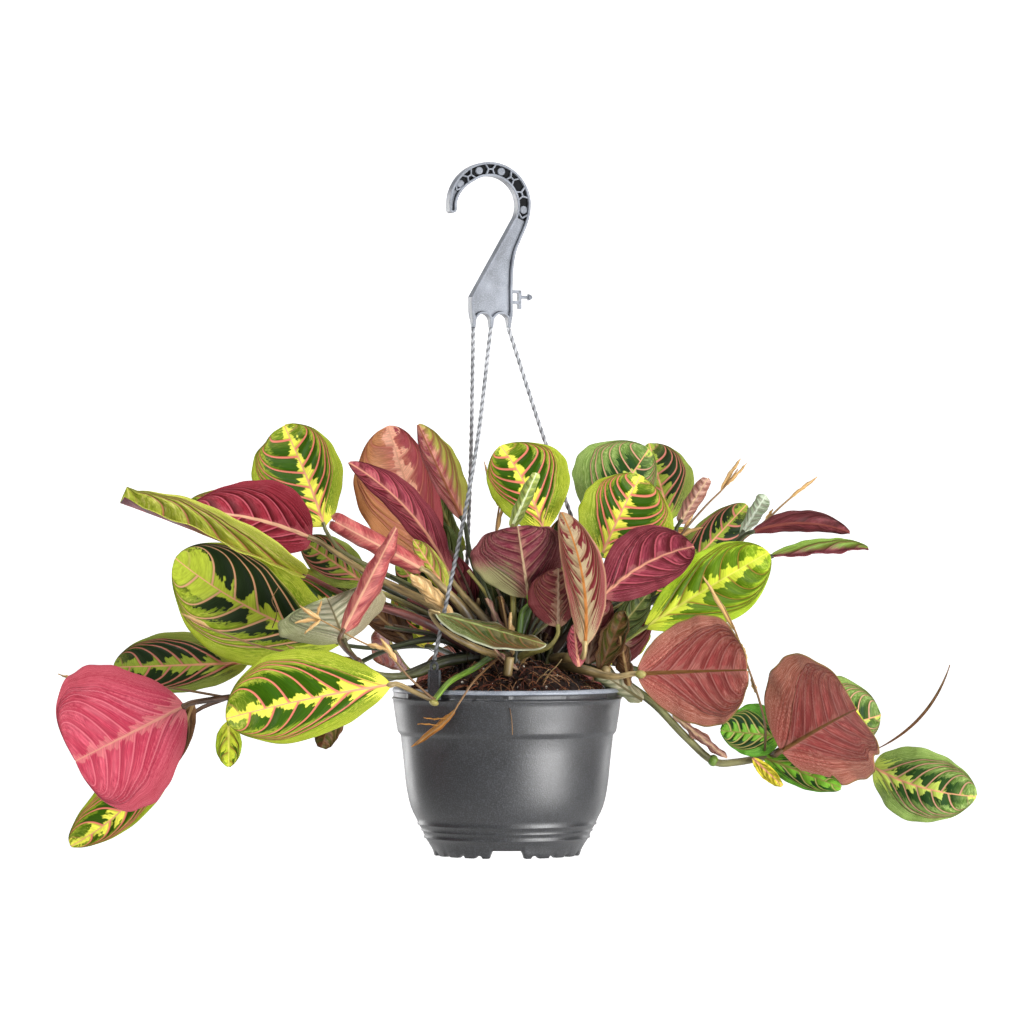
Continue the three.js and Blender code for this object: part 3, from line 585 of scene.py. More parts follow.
potSetup = {
    "segments": 288,
    "wall": 1.8,
    "band": potRadius * 0.948,
    "body": potRadius * 0.923,
    "foot": potRadius * 0.655,
    "stepZ": -potHeight * 0.262,
    "floorZ": -potHeight * 0.935,
    "wideNotch": potRadius * 0.29,
    "notchHeight": 5.2,
    "scallops": (-37, -22, 22, 37),
    "drainHole": 8.0,
    "drainBand": 10.0,
    # Out from the foot ring in mm, and down as a share of the height.
    "ridges": (
        (-4.2, 1), (-0.6, 1), (0.5, 0.965), (2.2, 0.925), (4.0, 0.902), (5.1, 0.897), (5.3, 0.892),
        (4.8, 0.886), (5.6, 0.862), (6.7, 0.857), (6.8, 0.851), (6.6, 0.846), (8.2, 0.822), (9.2, 0.818),
        (9.4, 0.812), (9.0, 0.806),
    ),
    # Shares of the radius and of the height.
    "side": (
        (0.795, 0.775), (0.818, 0.745), (0.838, 0.71), (0.856, 0.665), (0.87, 0.615), (0.883, 0.55),
        (0.894, 0.47), (0.908, 0.38),
    ),
    # In from the widest edge and up from the rim, in mm.
    "lip": (
        (0.7, -7.9), (0.1, -7.5), (0, -7.0), (0.3, -6.5), (1.6, -6.2), (1.8, -5.6), (1.8, -3.4),
        (1.5, -2.9), (0.4, -2.7), (0.1, -2.3), (0.5, -1.0), (1.2, -0.15), (2.0, 0.0), (3.6, -0.1),
    ),
    "look": {
        "dark": "0a0b0d", "light": "111215", "dust": "35373d", "cloud": 26, "grain": 1250, "fleck": 0.9,
        "specks": 110, "dusty": 0.3, "shine": 0.38, "bump": 0.8, "gloss": 1.0,
    },
    # The lighter rim look is a painted highlight along the top edge.
    "rimHighlightLook": {
        "dark": "747a84", "light": "8f959f", "dust": "b4b8c0", "cloud": 60, "grain": 1300, "fleck": 0.4,
        "specks": 110, "dusty": 0.3, "shine": 0.3, "bump": 0.4,
    },
}


def potProfile():
    r, h = potRadius, potHeight
    foot, wall, band, body = (potSetup[name] for name in ("foot", "wall", "band", "body"))
    stepZ = potSetup["stepZ"]
    floorTop = potSetup["floorZ"] + wall
    outer = [(foot + out, -h * down) for out, down in potSetup["ridges"]]
    outer += [(r * wide, -h * down) for wide, down in potSetup["side"]]
    outer += [
        (body, stepZ - 3.0), (body + 0.3, stepZ - 2.2), (band - 0.6, stepZ - 1.0),
        (band + 0.1, stepZ - 0.1), (band + 0.4, stepZ + 1.2), (band + 0.8, stepZ + 4),
        (r * 0.972, -h * 0.17), (r * 0.986, -h * 0.1),
    ]
    outer += [(r - inset, z) for inset, z in potSetup["lip"]]
    inner = [
        (r - 4.3, -0.6), (r - 4.5, -3.0), (r * 0.982 - wall - 2, -h * 0.12), (body - wall, stepZ - 2.6),
        (r * 0.868 - wall, -h * 0.62), (r * 0.836 - wall, -h * 0.712), (r * 0.76 - wall, -h * 0.8),
        (foot + 3.4 - wall, -h * 0.9), (foot - 2, floorTop),
        (drainRadius() + potSetup["drainBand"] / 2, floorTop),
    ]
    return outer, inner


def drainRadius():
    return potSetup["foot"] * 0.68


# How far the bottom edge of the foot is lifted at an angle, for the notches that let water out.
def footLift(angle):
    turned = (math.degrees(angle) + 90 + 45) % 90 - 45  # from the nearest wide notch
    across = math.radians(turned) * potSetup["foot"]
    edge = potSetup["wideNotch"] / 2
    lift = potSetup["notchHeight"] * (1 - smoothStep(edge - 1.2, edge + 1.2, abs(across)))
    for side in potSetup["scallops"]:
        away = math.radians(turned - side) * potSetup["foot"]
        if abs(away) < 2.75:
            lift = max(lift, math.sqrt(max(2.75**2 - away**2, 0)) * 0.68)
    return lift


def buildPot(finish, rimHighlightFinish):
    outer, inner = potProfile()
    floorZ = potSetup["floorZ"]
    hubEdge = drainRadius() - potSetup["drainBand"] / 2
    floorTop = floorZ + potSetup["wall"]
    hub = [(hubEdge, floorTop), (0.6, floorTop), (0.6, floorZ), (hubEdge, floorZ)]
    underside = [(hubEdge + potSetup["drainBand"], floorZ), (potSetup["foot"] - 5.0, floorZ)]
    underside.append((potSetup["foot"] - 4.9, floorZ - 1))
    profile = outer + inner + hub + underside
    segments = potSetup["segments"]
    gather = newGather()
    points = []
    for i in range(segments):
        angle = i / segments * 2 * math.pi
        lift = footLift(angle)
        ribbed = 0.28 if i % 24 < 2 else 0.0  # small upright ribs in the groove under the lip
        for j, (radius, z) in enumerate(profile):
            if z < -potHeight * 0.96:
                z = max(z, -potHeight + lift)
            if 36 <= j <= 39:
                radius += ribbed * 3
            points.append(fromRim((*polar(radius, angle), z)))
    rings = len(profile)
    gapRing = len(outer) + len(inner) - 1  # the ring of drain holes lies between these two profile points
    faces = []
    rimHighlight = []
    rimRings = range(len(outer) - 7, len(outer) + 1)  # the top edge, painted lighter: a painted highlight
    for i in range(segments):
        other = (i + 1) % segments
        for j in range(rings):
            after = (j + 1) % rings
            if j == gapRing or j == gapRing + 4:
                continue
            faces.append([i * rings + j, other * rings + j, other * rings + after, i * rings + after])
            rimHighlight.append(1 if j in rimRings else 0)
    addShape(gather, points, faces, finish=rimHighlight)
    addDrains(gather)
    settle("pottingPot", gather, [finish, rimHighlightFinish], "pot_plastic", "pot")


# The floor's ring between hub and wall, with eight round holes.
def addDrains(gather):
    drain = drainRadius()
    half = potSetup["drainBand"] / 2
    count = 32
    for k in range(8):
        centre = math.radians(22.5 + 45 * k)
        points = []
        for z in (potSetup["floorZ"], potSetup["floorZ"] + potSetup["wall"]):
            turns = [2 * math.pi * i / count for i in range(count)]
            for turn in turns:
                points.append(spotOnFloor(*polar(potSetup["drainHole"] / 2, turn), centre, z))
            for turn in turns:
                reach = 1 / max(abs(math.cos(turn)), abs(math.sin(turn)))
                wide = reach * math.sin(turn) * math.radians(22.5) * drain
                points.append(spotOnFloor(half * reach * math.cos(turn), wide, centre, z))
        faces = []
        for i in range(count):
            j = (i + 1) % count
            faces.append([i, j, count + j, count + i])
            faces.append([3 * count + i, 3 * count + j, 2 * count + j, 2 * count + i])
            faces.append([j, i, 2 * count + i, 2 * count + j])
        addShape(gather, points, faces)


def spotOnFloor(out, across, centre, z):
    return fromRim((*polar(drainRadius() + out, centre + across / drainRadius()), z))


buildPot(plasticFinish("potPlastic", potSetup["look"]), plasticFinish("potRimHighlight", potSetup["rimHighlightLook"]))
print("pot turned")


clipSetup = {
    "width": 9.8,
    "thickness": 1.9,
    "ridge": 0.55,
    "look": {
        "dark": "1f2123", "light": "2c2f33", "dust": "6c7076", "cloud": 90, "grain": 1800, "fleck": 0.4,
        "specks": 200, "dusty": 0.15, "shine": 0.4, "bump": 0.3,
    },
}


# A strap bent over the rim, with two raised edges outside and a loop for the cord on top.
def buildClip(label, cord, finish):
    half = clipSetup["width"] / 2
    outside = clipRadius + clipSetup["thickness"] / 2
    inside = clipRadius - clipSetup["thickness"] / 2
    r = clipRadius
    bend = [
        (outside, -6.1), (outside, 1.5), (outside, 8), (outside - 0.1, clipTop - 7),
        (outside - 0.2, clipTop - 5), (inside, clipTop - 5), (inside, clipTop - 7), (inside, 8),
        (inside, 3.4), (inside - 0.7, 2.4), (r - 7.0, 2.3), (r - 7.7, 1.6), (r - 7.8, -3.0),
        (r - 6.6, -3.0), (r - 6.4, 0.1), (r - 5.8, 0.35), (inside - 0.6, 0.35), (inside, -0.2),
        (inside, -6.1),
    ]
    across = [-half, -half + 0.35, -half + 1.1, -half + 1.3, 0, half - 1.3, half - 1.1, half - 0.35, half]
    raised = [-0.35, 0, 0, -clipSetup["ridge"], -clipSetup["ridge"], -clipSetup["ridge"], 0, 0, -0.35]
    gather = newGather()
    points = []
    for side, lift in zip(across, raised):
        for j, (out, z) in enumerate(bend):
            narrow = 1 - 0.16 * smoothStep(clipTop - 6, clipTop - 4, z)
            points.append((out + (lift if j <= 4 else 0), side * narrow, z))
    faces = [face[::-1] for face in tubeFaces(len(across), len(bend))]
    turn = math.radians(cord["angle"])
    addShape(gather, [turnedSpot(point, turn) for point in points], faces)
    angles = [2 * math.pi * i / 28 for i in range(29)]
    loop = [(clipRadius, 2.6 * math.cos(a), clipTop - 3.0 + 2.9 * math.sin(a)) for a in angles]
    addTube(gather, [turnedSpot(point, turn) for point in loop], 0.95 * mm, 10)
    settle("strap_" + label, gather, [finish], "clip_plastic", "clip_" + label, smooth=False)


def turnedSpot(point, turn):
    x, y, z = point
    return fromRim((x * math.cos(turn) - y * math.sin(turn), x * math.sin(turn) + y * math.cos(turn), z))


clipFinish = plasticFinish("clipPlastic", clipSetup["look"])
for label, cord in cords.items():
    buildClip(label, cord, clipFinish)
print("clips bent")


mixSetup = {
    "radius": potRadius - 5.2,
    "top": 21.0,
    "rough": 1.6,
    "fibres": 760,
    "chunks": 260,
    "perlite": 60,
    "fibreColours": ("6b3420", "8a4a2c", "4a2214", "a06a44", "2c140c", "b58a64"),
    "chunkColours": ("3a2116", "28150d", "4d2d1c", "1c0f0a"),
}


def moundHeight(radius):
    share = max(1 - (radius / mixSetup["radius"]) ** 2, 0)
    return -5 + (mixSetup["top"] + 5) * share**1.5


def mixFinish(name):
    wiring = Wiring(name, 0.95)
    crumbs = wiring.grain(420, 6, 0.65)
    lumps = wiring.grain(130, 3)
    body = wiring.mix(wiring.fade(crumbs, 0.35, 0.7), "0f0705", "3a1f14")
    body = wiring.mix(wiring.fade(lumps, 0.35, 0.75), body, "2a160d")
    wiring.colour(wiring.mix(0.75, body, wiring.tint(), "MULTIPLY"))
    wiring.bump(crumbs, 0.9, 0.002)
    return wiring.material


def crumbFinish(name, roughness):
    wiring = Wiring(name, roughness)
    mottle = wiring.grain(700, 4, 0.6)
    shade = wiring.mix(wiring.fade(mottle, 0.3, 0.75), "8a8078", "ffffff")
    wiring.colour(wiring.mix(1.0, wiring.tint(), shade, "MULTIPLY"))
    wiring.bump(mottle, 0.5, 0.0006)
    return wiring.material


def crumbShape(gather, middle, size, rng, colour):
    rings = 5
    around = 7
    points = []
    for i in range(1, rings):
        tilt = math.pi * i / rings
        for j in range(around):
            turn = 2 * math.pi * j / around
            reach = rng.uniform(0.72, 1.12)
            points.append((
                middle[0] + size[0] * reach * math.sin(tilt) * math.cos(turn),
                middle[1] + size[1] * reach * math.sin(tilt) * math.sin(turn),
                middle[2] + size[2] * reach * math.cos(tilt),
            ))
    faces = [face[::-1] for face in tubeFaces(rings - 1, around)]
    addShape(gather, toFrame(points), faces, tint=linear(colour)[:3])


def spotOnMound(rng, spread=1.0):
    radius = mixSetup["radius"] * math.sqrt(rng.random()) * 0.965 * spread
    return *polar(radius, rng.uniform(0, 2 * math.pi)), moundHeight(radius)


def buildMix():
    rng = random.Random(11)
    gather = newGather()
    rings = 56
    around = 168
    turns = [2 * math.pi * j / around for j in range(around)]
    points = []
    for i in range(rings + 1):
        radius = mixSetup["radius"] * i / rings
        for turn in turns:
            x, y = polar(radius, turn)
            rough = noise.fractal(Vector((x, y, 3)) * 0.16, 0.8, 2.2, 4) * mixSetup["rough"]
            points.append((x, y, moundHeight(radius) + rough * (1 - (i / rings) ** 8)))
    for radius, z in ((mixSetup["radius"], -10), (mixSetup["radius"] * 0.8, -22), (1.0, -24)):
        points += [(*polar(radius, turn), z) for turn in turns]
    addShape(gather, toFrame(points), [face[::-1] for face in ringFaces(rings + 4, around)])
    settle("pottingMound", gather, [mixFinish("pottingMound")], "potting_mix", "potting_mix")

    gather = newGather()
    for i in range(mixSetup["chunks"]):
        x, y, z = spotOnMound(rng)
        size = [rng.uniform(0.8, 2.6) for axis in range(3)]
        crumbShape(gather, (x, y, z + 0.4), size, rng, rng.choice(mixSetup["chunkColours"]))
    settle("barkCrumbs", gather, [crumbFinish("barkCrumbs", 0.9)], "potting_mix")

    gather = newGather()
    for i in range(mixSetup["perlite"]):
        x, y, z = spotOnMound(rng)
        size = [rng.uniform(0.5, 1.15) for axis in range(3)]
        crumbShape(gather, (x, y, z + 0.9), size, rng, "e8e2d6")
    settle("perlite", gather, [crumbFinish("perlite", 0.8)], "potting_mix")

    gather = newGather()
    for i in range(mixSetup["fibres"]):
        x, y, z = spotOnMound(rng)
        heading = rng.uniform(0, 2 * math.pi)
        length = rng.uniform(5, 19)
        bow = rng.uniform(-0.5, 0.5)
        hump = rng.uniform(0.4, 3.6)
        line = []
        for k in range(7):
            s = k / 6 - 0.5
            px = x + length * (s * math.cos(heading) - bow * (s * s) * math.sin(heading))
            py = y + length * (s * math.sin(heading) + bow * (s * s) * math.cos(heading))
            radius = min(math.hypot(px, py), mixSetup["radius"])
            line.append((px, py, moundHeight(radius) + 0.8 + hump * (1 - 4 * s * s)))
        if max(math.hypot(px, py) for px, py, pz in (line[0], line[-1])) > mixSetup["radius"]:
            continue
        thick = rng.uniform(0.14, 0.42) * mm
        addTube(gather, toFrame(line), thick, 4, tint=linear(rng.choice(mixSetup["fibreColours"]))[:3])
    settle("coirFibres", gather, [crumbFinish("coirFibres", 0.85)], "potting_mix")


buildMix()
print("pot filled")


# Each leaf runs from its petiole end (base) to its tip. Halves are the half widths left and right, as
# seen from the front. rise arches the midrib towards the upper side and bend moves it to the right. roll
# turns the blade about its length, and twist turns it along the way. fold closes the halves towards the
# upper side, and curl rolls their edges. widest is where the blade is widest, blunt makes its ends
# squarer, least is the smallest half width, and snub makes the end that much squarer still. quilt swells
# the fields between the veins, wave ripples the edge, and shift sets the left veins off from the right
# ones. nicks are (along, side, depth, width) bites out of an edge.
leafHabit = dict(
    rise=0, bend=0, roll=0, fold=6, curl=0, twist=0, widest=0.5, blunt=0.55, least=0.9, snub=0, veins=6.5,
    quilt=0.6, wave=0.9, shift=0.4, thick=0.5, upper="lime", under="rose", nicks=(), mesh=1,
)


# A leaf with a finish of its own below, and none above, is one that shows its underside.
def fullLeaf(leaf):
    shows = "under" if "under" in leaf and "upper" not in leaf else "upper"
    return {**leafHabit, "shows": shows, **leaf}


leaves = {
    "lime_top_left": dict(base=(-119, -3, 105), tip=(-147, 38, 171), halves=(35, 25), rise=-4, bend=1,
        widest=0.56, blunt=0.5, nicks=((0.93, 0, 0.12, 0.04),)),
    "burgundy_left": dict(base=(-126, -27, 97), tip=(-209, -42, 114), halves=(18, 27), bend=5, rise=5,
        widest=0.34, fold=-4, blunt=0.72, under="crimson", quilt=1.5),
    "folded_long_left": dict(base=(-129, -52, 73), tip=(-246, -84, 120), halves=(17, 25), fold=68, roll=24,
        rise=2, blunt=0.4, snub=12, twist=30, upper="soft", under="burgundy"),
    "lime_behind_left": dict(base=(-146, 38, 96), tip=(-213, 52, 118), halves=(11, 21)),
    "large_left": dict(base=(-108, -26, 29), tip=(-215, -18, 84), halves=(39, 36), bend=-5, widest=0.56,
        rise=-6, roll=16, upper="split", wave=1.4),
    "dark_low_left": dict(base=(-169, -6, 16), tip=(-258, 30, 12), halves=(18, 22), rise=5, upper="dark"),
    "pink_far_left": dict(base=(-208, -36, -11), tip=(-272, -108, -43), halves=(47, 52), rise=6,
        widest=0.57, blunt=0.45, under="pink", quilt=2.4, veins=6.5, mesh=1.8,
        nicks=((0.97, 0, 0.1, 0.04),)),
    "lime_lowest_left": dict(base=(-213, -14, -27), tip=(-286, 18, -105), halves=(13, 22), bend=-9),
    "lime_front_left": dict(base=(-74, -77, 4), tip=(-178, -92, -17), halves=(27, 34), widest=0.58, rise=6,
        roll=18, shift=0.1),
    "small_hanging": dict(base=(-178, -62, -20), tip=(-178, -60, -49), halves=(8.5, 8.5), upper="bright",
        veins=3),
    "pale_under_left": dict(base=(-104, -52, 31), tip=(-114, -84, 59), halves=(38, 35), rise=4,
        under="pale"),
    "pink_rolled": dict(base=(-104, -98, 38), tip=(-70, -94, 104), halves=(15, 15), curl=110, roll=-10,
        widest=0.44, under="dustyPink", veins=4),
    "pink_tube": dict(shows="under", base=(-54, -38, 77), tip=(-110, -62, 108), halves=(19, 19), curl=166,
        fold=0, blunt=0.07, widest=0.6, upper="young", under="dustyPink", quilt=0.3, veins=3),
    "peach_top": dict(base=(-48, 4, 76), tip=(-79, 50, 171), halves=(35, 20), rise=6, widest=0.6,
        blunt=0.5, under="peach"),
    "burgundy_folded": dict(base=(-37, -22, 73), tip=(-102, -34, 146), halves=(10, 14), bend=8, fold=24,
        under="burgundy", quilt=1.0),
    "pink_green_top": dict(base=(-29, -12, 109), tip=(-58, -2, 171), halves=(8, 15), fold=20,
        under="mauvePink"),
    "olive_narrow": dict(shows="under", base=(-30, 34, 83), tip=(-50, 56, 136), halves=(5, 5),
        under="olive", upper="dark"),
    "lime_top_centre": dict(base=(24, -26, 101), tip=(-4, -20, 157), halves=(23, 31), bend=3, rise=-4,
        widest=0.56),
    "young_rolled": dict(base=(3, -44, 104), tip=(19, -48, 139), halves=(11, 11), curl=150, fold=0,
        blunt=0.25, under="young", quilt=0.2),
    "mauve_centre": dict(base=(14, -40, 59), tip=(7, -84, 105), halves=(33, 29), rise=6, under="mauve",
        quilt=1.4),
    "crimson_low_centre": dict(base=(33, -48, 40), tip=(33, -56, 78), halves=(20, 12), under="deepCrimson",
        quilt=1.2),
    "standing_centre": dict(base=(50, -66, 29), tip=(35, -78, 114), halves=(12, 15), bend=6, rise=3,
        under="marbled", veins=8),
    "flopped_front": dict(base=(-45, -80, 50), tip=(25, -94, 30), halves=(12, 13), roll=-52, fold=-10,
        curl=-26, upper="plain", under="brown"),
    "lime_right": dict(base=(61, -9, 85), tip=(87, -8, 138), halves=(29, 38), rise=-3, roll=14),
    "burgundy_right": dict(base=(62, -34, 60), tip=(120, -52, 92), halves=(24, 19), bend=-5, rise=5,
        under="burgundy", quilt=2.2, veins=6),
    "grey_green_top": dict(base=(60, 14, 105), tip=(94, 56, 156), halves=(37, 20), rise=-4,
        upper="greyGreen"),
    "dark_top_right": dict(base=(108, 48, 109), tip=(95, 82, 160), halves=(15, 23), rise=-3, upper="dark"),
    "pink_tube_right": dict(base=(113, 8, 107), tip=(131, 4, 136), halves=(13, 13), curl=150, fold=0,
        blunt=0.2, under="fadedPink", quilt=0.2),
    "dark_right": dict(base=(104, 8, 63), tip=(158, 38, 119), halves=(15, 18), upper="dark"),
    "lime_bright_right": dict(base=(89, -22, 39), tip=(169, -30, 88), halves=(23, 28), bend=-2, rise=-5,
        widest=0.6, roll=-18, upper="bright", veins=6),
    "rose_right": dict(shows="under", base=(84, -42, 10), tip=(152, -96, 14), halves=(36, 36), rise=6,
        widest=0.54, blunt=0.5, quilt=1.7, mesh=1.2, nicks=((0.95, 1, 0.16, 0.03),)),
    "rose_far_right": dict(shows="under", base=(178, -16, -41), tip=(222, -88, -11), halves=(51, 44),
        rise=7, widest=0.47, blunt=0.42, quilt=1.7, nicks=((0.72, 1, 0.14, 0.05),), mesh=1.2),
    "green_behind_rose": dict(base=(192, 12, -35), tip=(247, 44, -20), halves=(34, 18), fold=2,
        upper="greyGreen"),
    "green_small_right": dict(base=(178, -4, -32), tip=(139, -8, -28), halves=(15, 20), widest=0.42,
        upper="fresh", veins=6),
    "grey_green_far_right": dict(base=(239, 0, -52), tip=(302, -44, -69), halves=(25, 23), bend=4, rise=4,
        upper="greyGreen"),
    "spike_right": dict(shows="under", base=(241, 6, -41), tip=(290, 14, 14), halves=(1, 1), bend=8,
        under="dry", upper="dry", quilt=0, wave=0, thick=1.1, least=0.35),
    "white_tube": dict(base=(153, 0, 100), tip=(169, 2, 125), halves=(10, 13), curl=130, fold=0, blunt=0.2,
        widest=0.7, under="whitish", quilt=0.2),
    "burgundy_long_right": dict(base=(159, -12, 101), tip=(221, -38, 101), halves=(9, 6), bend=-6, fold=20,
        under="husk", veins=3),
    "folded_thin_right": dict(base=(172, 6, 85), tip=(238, 36, 90), halves=(10, 7.5), fold=54, roll=-30,
        upper="sliver", under="burgundy", veins=3),
    "dark_middle_left": dict(base=(-92, 4, 67), tip=(-134, 2, 96), halves=(14, 15), upper="dark"),
    "back_left": dict(base=(-84, 92, 52), tip=(-168, 138, 62), halves=(26, 26), rise=8, roll=-30),
    "back_high": dict(base=(-28, 70, 90), tip=(-88, 118, 128), halves=(24, 22), rise=8, roll=-20,
        upper="dark"),
    "back_right": dict(base=(64, 84, 66), tip=(132, 138, 92), halves=(25, 25), rise=8, roll=20),
    "back_low": dict(shows="under", base=(6, 116, 8), tip=(4, 172, -62), halves=(24, 24), rise=8),
    "back_low_left": dict(shows="under", base=(-20, 108, 22), tip=(-62, 172, -34), halves=(22, 22), rise=8,
        upper="greyGreen"),
}


def unit(vector):
    return vector / np.maximum(np.linalg.norm(vector, axis=-1, keepdims=True), 1e-9)


def halfWidths(leaf, t, q, rng):
    power = math.log(0.5) / math.log(leaf["widest"])
    swell = np.maximum(np.sin(math.pi * np.clip(t, 0, 1) ** power), 0) ** leaf["blunt"]
    left, right = leaf["halves"]
    half = np.where(q < 0, left, right) * swell
    start = rng.uniform(0, 6.28)
    edge = 1 + 0.012 * np.sin(13 * t + start) + 0.01 * np.sin(31 * t + 2 * start)
    for along, side, depth, width in leaf["nicks"]:
        chosen = (q < 0) if side == 0 else (q >= 0)
        edge = edge - np.where(chosen, depth, 0) * np.exp(-(((t - along) / width) ** 2))
    return np.maximum(half * edge, leaf["least"] + leaf["snub"] * fadeIn(t, 0.8, 0.93))


# Places on the leaf for grids of t along it (0 base, 1 tip) and q across it (-1 left edge, 1 right edge).
def leafGrid(leaf, t, q, half):
    base = np.array(leaf["base"], dtype=float)
    tip = np.array(leaf["tip"], dtype=float)
    length = np.linalg.norm(tip - base)
    along = (tip - base) / length
    right = unit(np.cross(along, [0.0, -1.0, 0.0]))
    out = np.cross(right, along)
    turn = np.radians(leaf["roll"] + leaf["twist"] * (t - 0.5))[..., None]
    across = right * np.cos(turn) - out * np.sin(turn)
    front = out * np.cos(turn) + right * np.sin(turn)
    upper = front if leaf["shows"] == "upper" else -front
    arch = (4 * t * (1 - t))[..., None]
    point = base + (tip - base) * t[..., None] + right * leaf["bend"] * arch + upper * leaf["rise"] * arch
    slope = (leaf["rise"] * 4 * (1 - 2 * t))[..., None]
    lifted = unit(upper * length - along * slope)
    reach = np.abs(q) * half
    fold = math.radians(leaf["fold"])
    if leaf["curl"]:
        curl = math.radians(leaf["curl"]) / half
        out = (np.sin(fold + curl * reach) - math.sin(fold)) / curl
        up = (math.cos(fold) - np.cos(fold + curl * reach)) / curl
    else:
        out = reach * math.cos(fold)
        up = reach * math.sin(fold)
    return point + across * (np.sign(q) * out)[..., None] + lifted * up[..., None]


# How far the veins lean forward: wide leaves have veins that lean more.
def veinLean(leaf):
    ratio = sum(leaf["halves"]) / 2 / math.dist(leaf["base"], leaf["tip"])
    return min(max(0.42 * (ratio / 0.3) ** 0.65, 0.36), 0.66)


# Which vein a spot lies by: whole numbers are veins, counted from the base, and they sweep towards the tip.
def veinCount(leaf, t, q):
    a = np.abs(q)
    lean = veinLean(leaf)
    sweep = lean * a + (0.93 - lean) * a**4
    root = (t - sweep) / (1 - sweep)
    return root, root * leaf["veins"] + np.where(q < 0, leaf["shift"], 0)


def fadeIn(value, low, high):
    share = np.clip((value - low) / (high - low), 0, 1)
    return share * share * (3 - 2 * share)


def leafSheet(gather, name, leaf, finishes):
    rng = random.Random(name)
    length = math.dist(leaf["base"], leaf["tip"])
    rows = int(min(max(length / 1.25, 24), 84) * leaf["mesh"])
    widest = max(leaf["halves"])
    perSide = int(min(max(widest / 1.9, 7), 20) * leaf["mesh"])
    along = np.linspace(0, 1, rows + 1)
    along = along - 0.1 * np.sin(2 * math.pi * along) / (2 * math.pi)
    steps = np.linspace(-1, 1, 2 * perSide + 1)
    across = np.sign(steps) * np.abs(steps) ** 1.2
    t, q = np.meshgrid(along, across, indexing="ij")
    half = halfWidths(leaf, t, q, rng)
    point = leafGrid(leaf, t, q, half)
    du = np.gradient(point, axis=0)
    dv = np.gradient(point, axis=1)
    normal = unit(np.cross(dv, du))
    towardsUpper = 1 if leaf["shows"] == "upper" else -1
    start = rng.uniform(0, 6.28)
    warp = 0.009 * np.sin(9 * t + 2.5 * q + start)
    root, veins = veinCount(leaf, t + warp, q)
    phase = veins - np.floor(veins)
    a = np.abs(q)
    room = fadeIn(a, 0.0, 0.16) * fadeIn(1 - a, 0.03, 0.42)
    room = room * fadeIn(root, -0.02, 0.08) * fadeIn(1 - root, 0.04, 0.2)
    bulge = leaf["quilt"] * (np.sin(math.pi * phase**0.8) ** 1.1 - 0.4) * room
    ripple = leaf["wave"] * a**2.2 * np.sin(2 * math.pi * (2.6 * t + 0.16 * np.sign(q)) + start)
    ripple = ripple * fadeIn(t, 0, 0.2)
    ripple = ripple + leaf["wave"] * 0.5 * a**3 * np.sin(2 * math.pi * (5.7 * t) + 3 * start)
    point = point + normal * (bulge * towardsUpper + ripple)[..., None]
    du = np.gradient(point, axis=0)
    dv = np.gradient(point, axis=1)
    normal = unit(np.cross(dv, du))
    fromMidrib = a * half
    rib = 0.75 * (1 - 0.8 * t) * np.exp(-((fromMidrib / 1.1) ** 2)) * min(1.0, widest / 18)
    frontRib = rib if towardsUpper < 0 else 0 * rib
    backRib = rib if towardsUpper > 0 else 0 * rib
    thick = leaf["thick"] / 2
    frontSide = point + normal * (thick + frontRib)[..., None]
    backSide = point - normal * (thick + backRib)[..., None]
    wide = 2 * perSide + 1
    count = (rows + 1) * wide
    both = np.concatenate([frontSide.reshape(-1, 3), backSide.reshape(-1, 3)])
    spot = np.stack([t + warp, q, fromMidrib], axis=-1).reshape(-1, 3)
    facts = np.stack([np.full_like(t, leaf["veins"]), half, np.full_like(t, length)], axis=-1)
    facts = facts.reshape(-1, 3)
    frontFinish, backFinish = finishes
    faces = []
    finish = []
    for i in range(rows):
        for j in range(wide - 1):
            k = i * wide + j
            faces.append([k, k + 1, k + wide + 1, k + wide])
            faces.append([count + k, count + k + wide, count + k + wide + 1, count + k + 1])
            finish += [frontFinish, backFinish]
    for i in range(rows):
        l = i * wide
        r = l + wide - 1
        faces.append([l, l + wide, count + l + wide, count + l])
        faces.append([r + wide, r, count + r, count + r + wide])
        finish += [frontFinish, frontFinish]
    for j in range(wide - 1):
        k = rows * wide + j
        faces.append([j + 1, j, count + j, count + j + 1])
        faces.append([k, k + 1, count + k + 1, count + k])
        finish += [frontFinish, frontFinish]
    addShape(gather, toFrame(both), faces, finish, (veinLean(leaf), rng.random(), 0),
             np.concatenate([spot, spot]), np.concatenate([facts, facts]))


# Leaf finishes, with lengths in millimetres on the leaf. tuft is the pale feather along the midrib, and
# patch the dark field between two veins. stripe and groove are the light and dark lines that run with the
# veins. shade and shadeTint are painted shade, in the valleys between the veins and beside each vein.
skinHabit = dict(
    margin="86981c", middle="688614", stripe="cfc955", stripes=0.7, groove="465e08", grooves=0.85,
    patch="2f5200", patchStart=0.44, patchSlant=0.34, patchSoft=0.07, patches=1.0, tuft="dfdc50",
    tuftReach=6.5, tufts=1.0, flood=0.0, vein="dd7a66", veinWidth=0.62, veins=1.0, midrib="e0a078",
    midribWidth=0.75, shade=0.2, shadeTint="33480c", left=None, right=None, tip=None, rim=None, shine=0.36,
    gloss=0.12, relief=0.8, shift=0.4, mottle=0.22, cloud=0.2, dark=0.0,
)

# What the undersides share: no patches, and veins that stand proud with a painted shadow beside them.
underHabit = dict(
    patches=0.0, stripes=0.42, grooves=0.66, tufts=0.4, tuftReach=4.5, veinWidth=0.4, veins=0.6, shade=0.6,
    cloud=0.3,
)

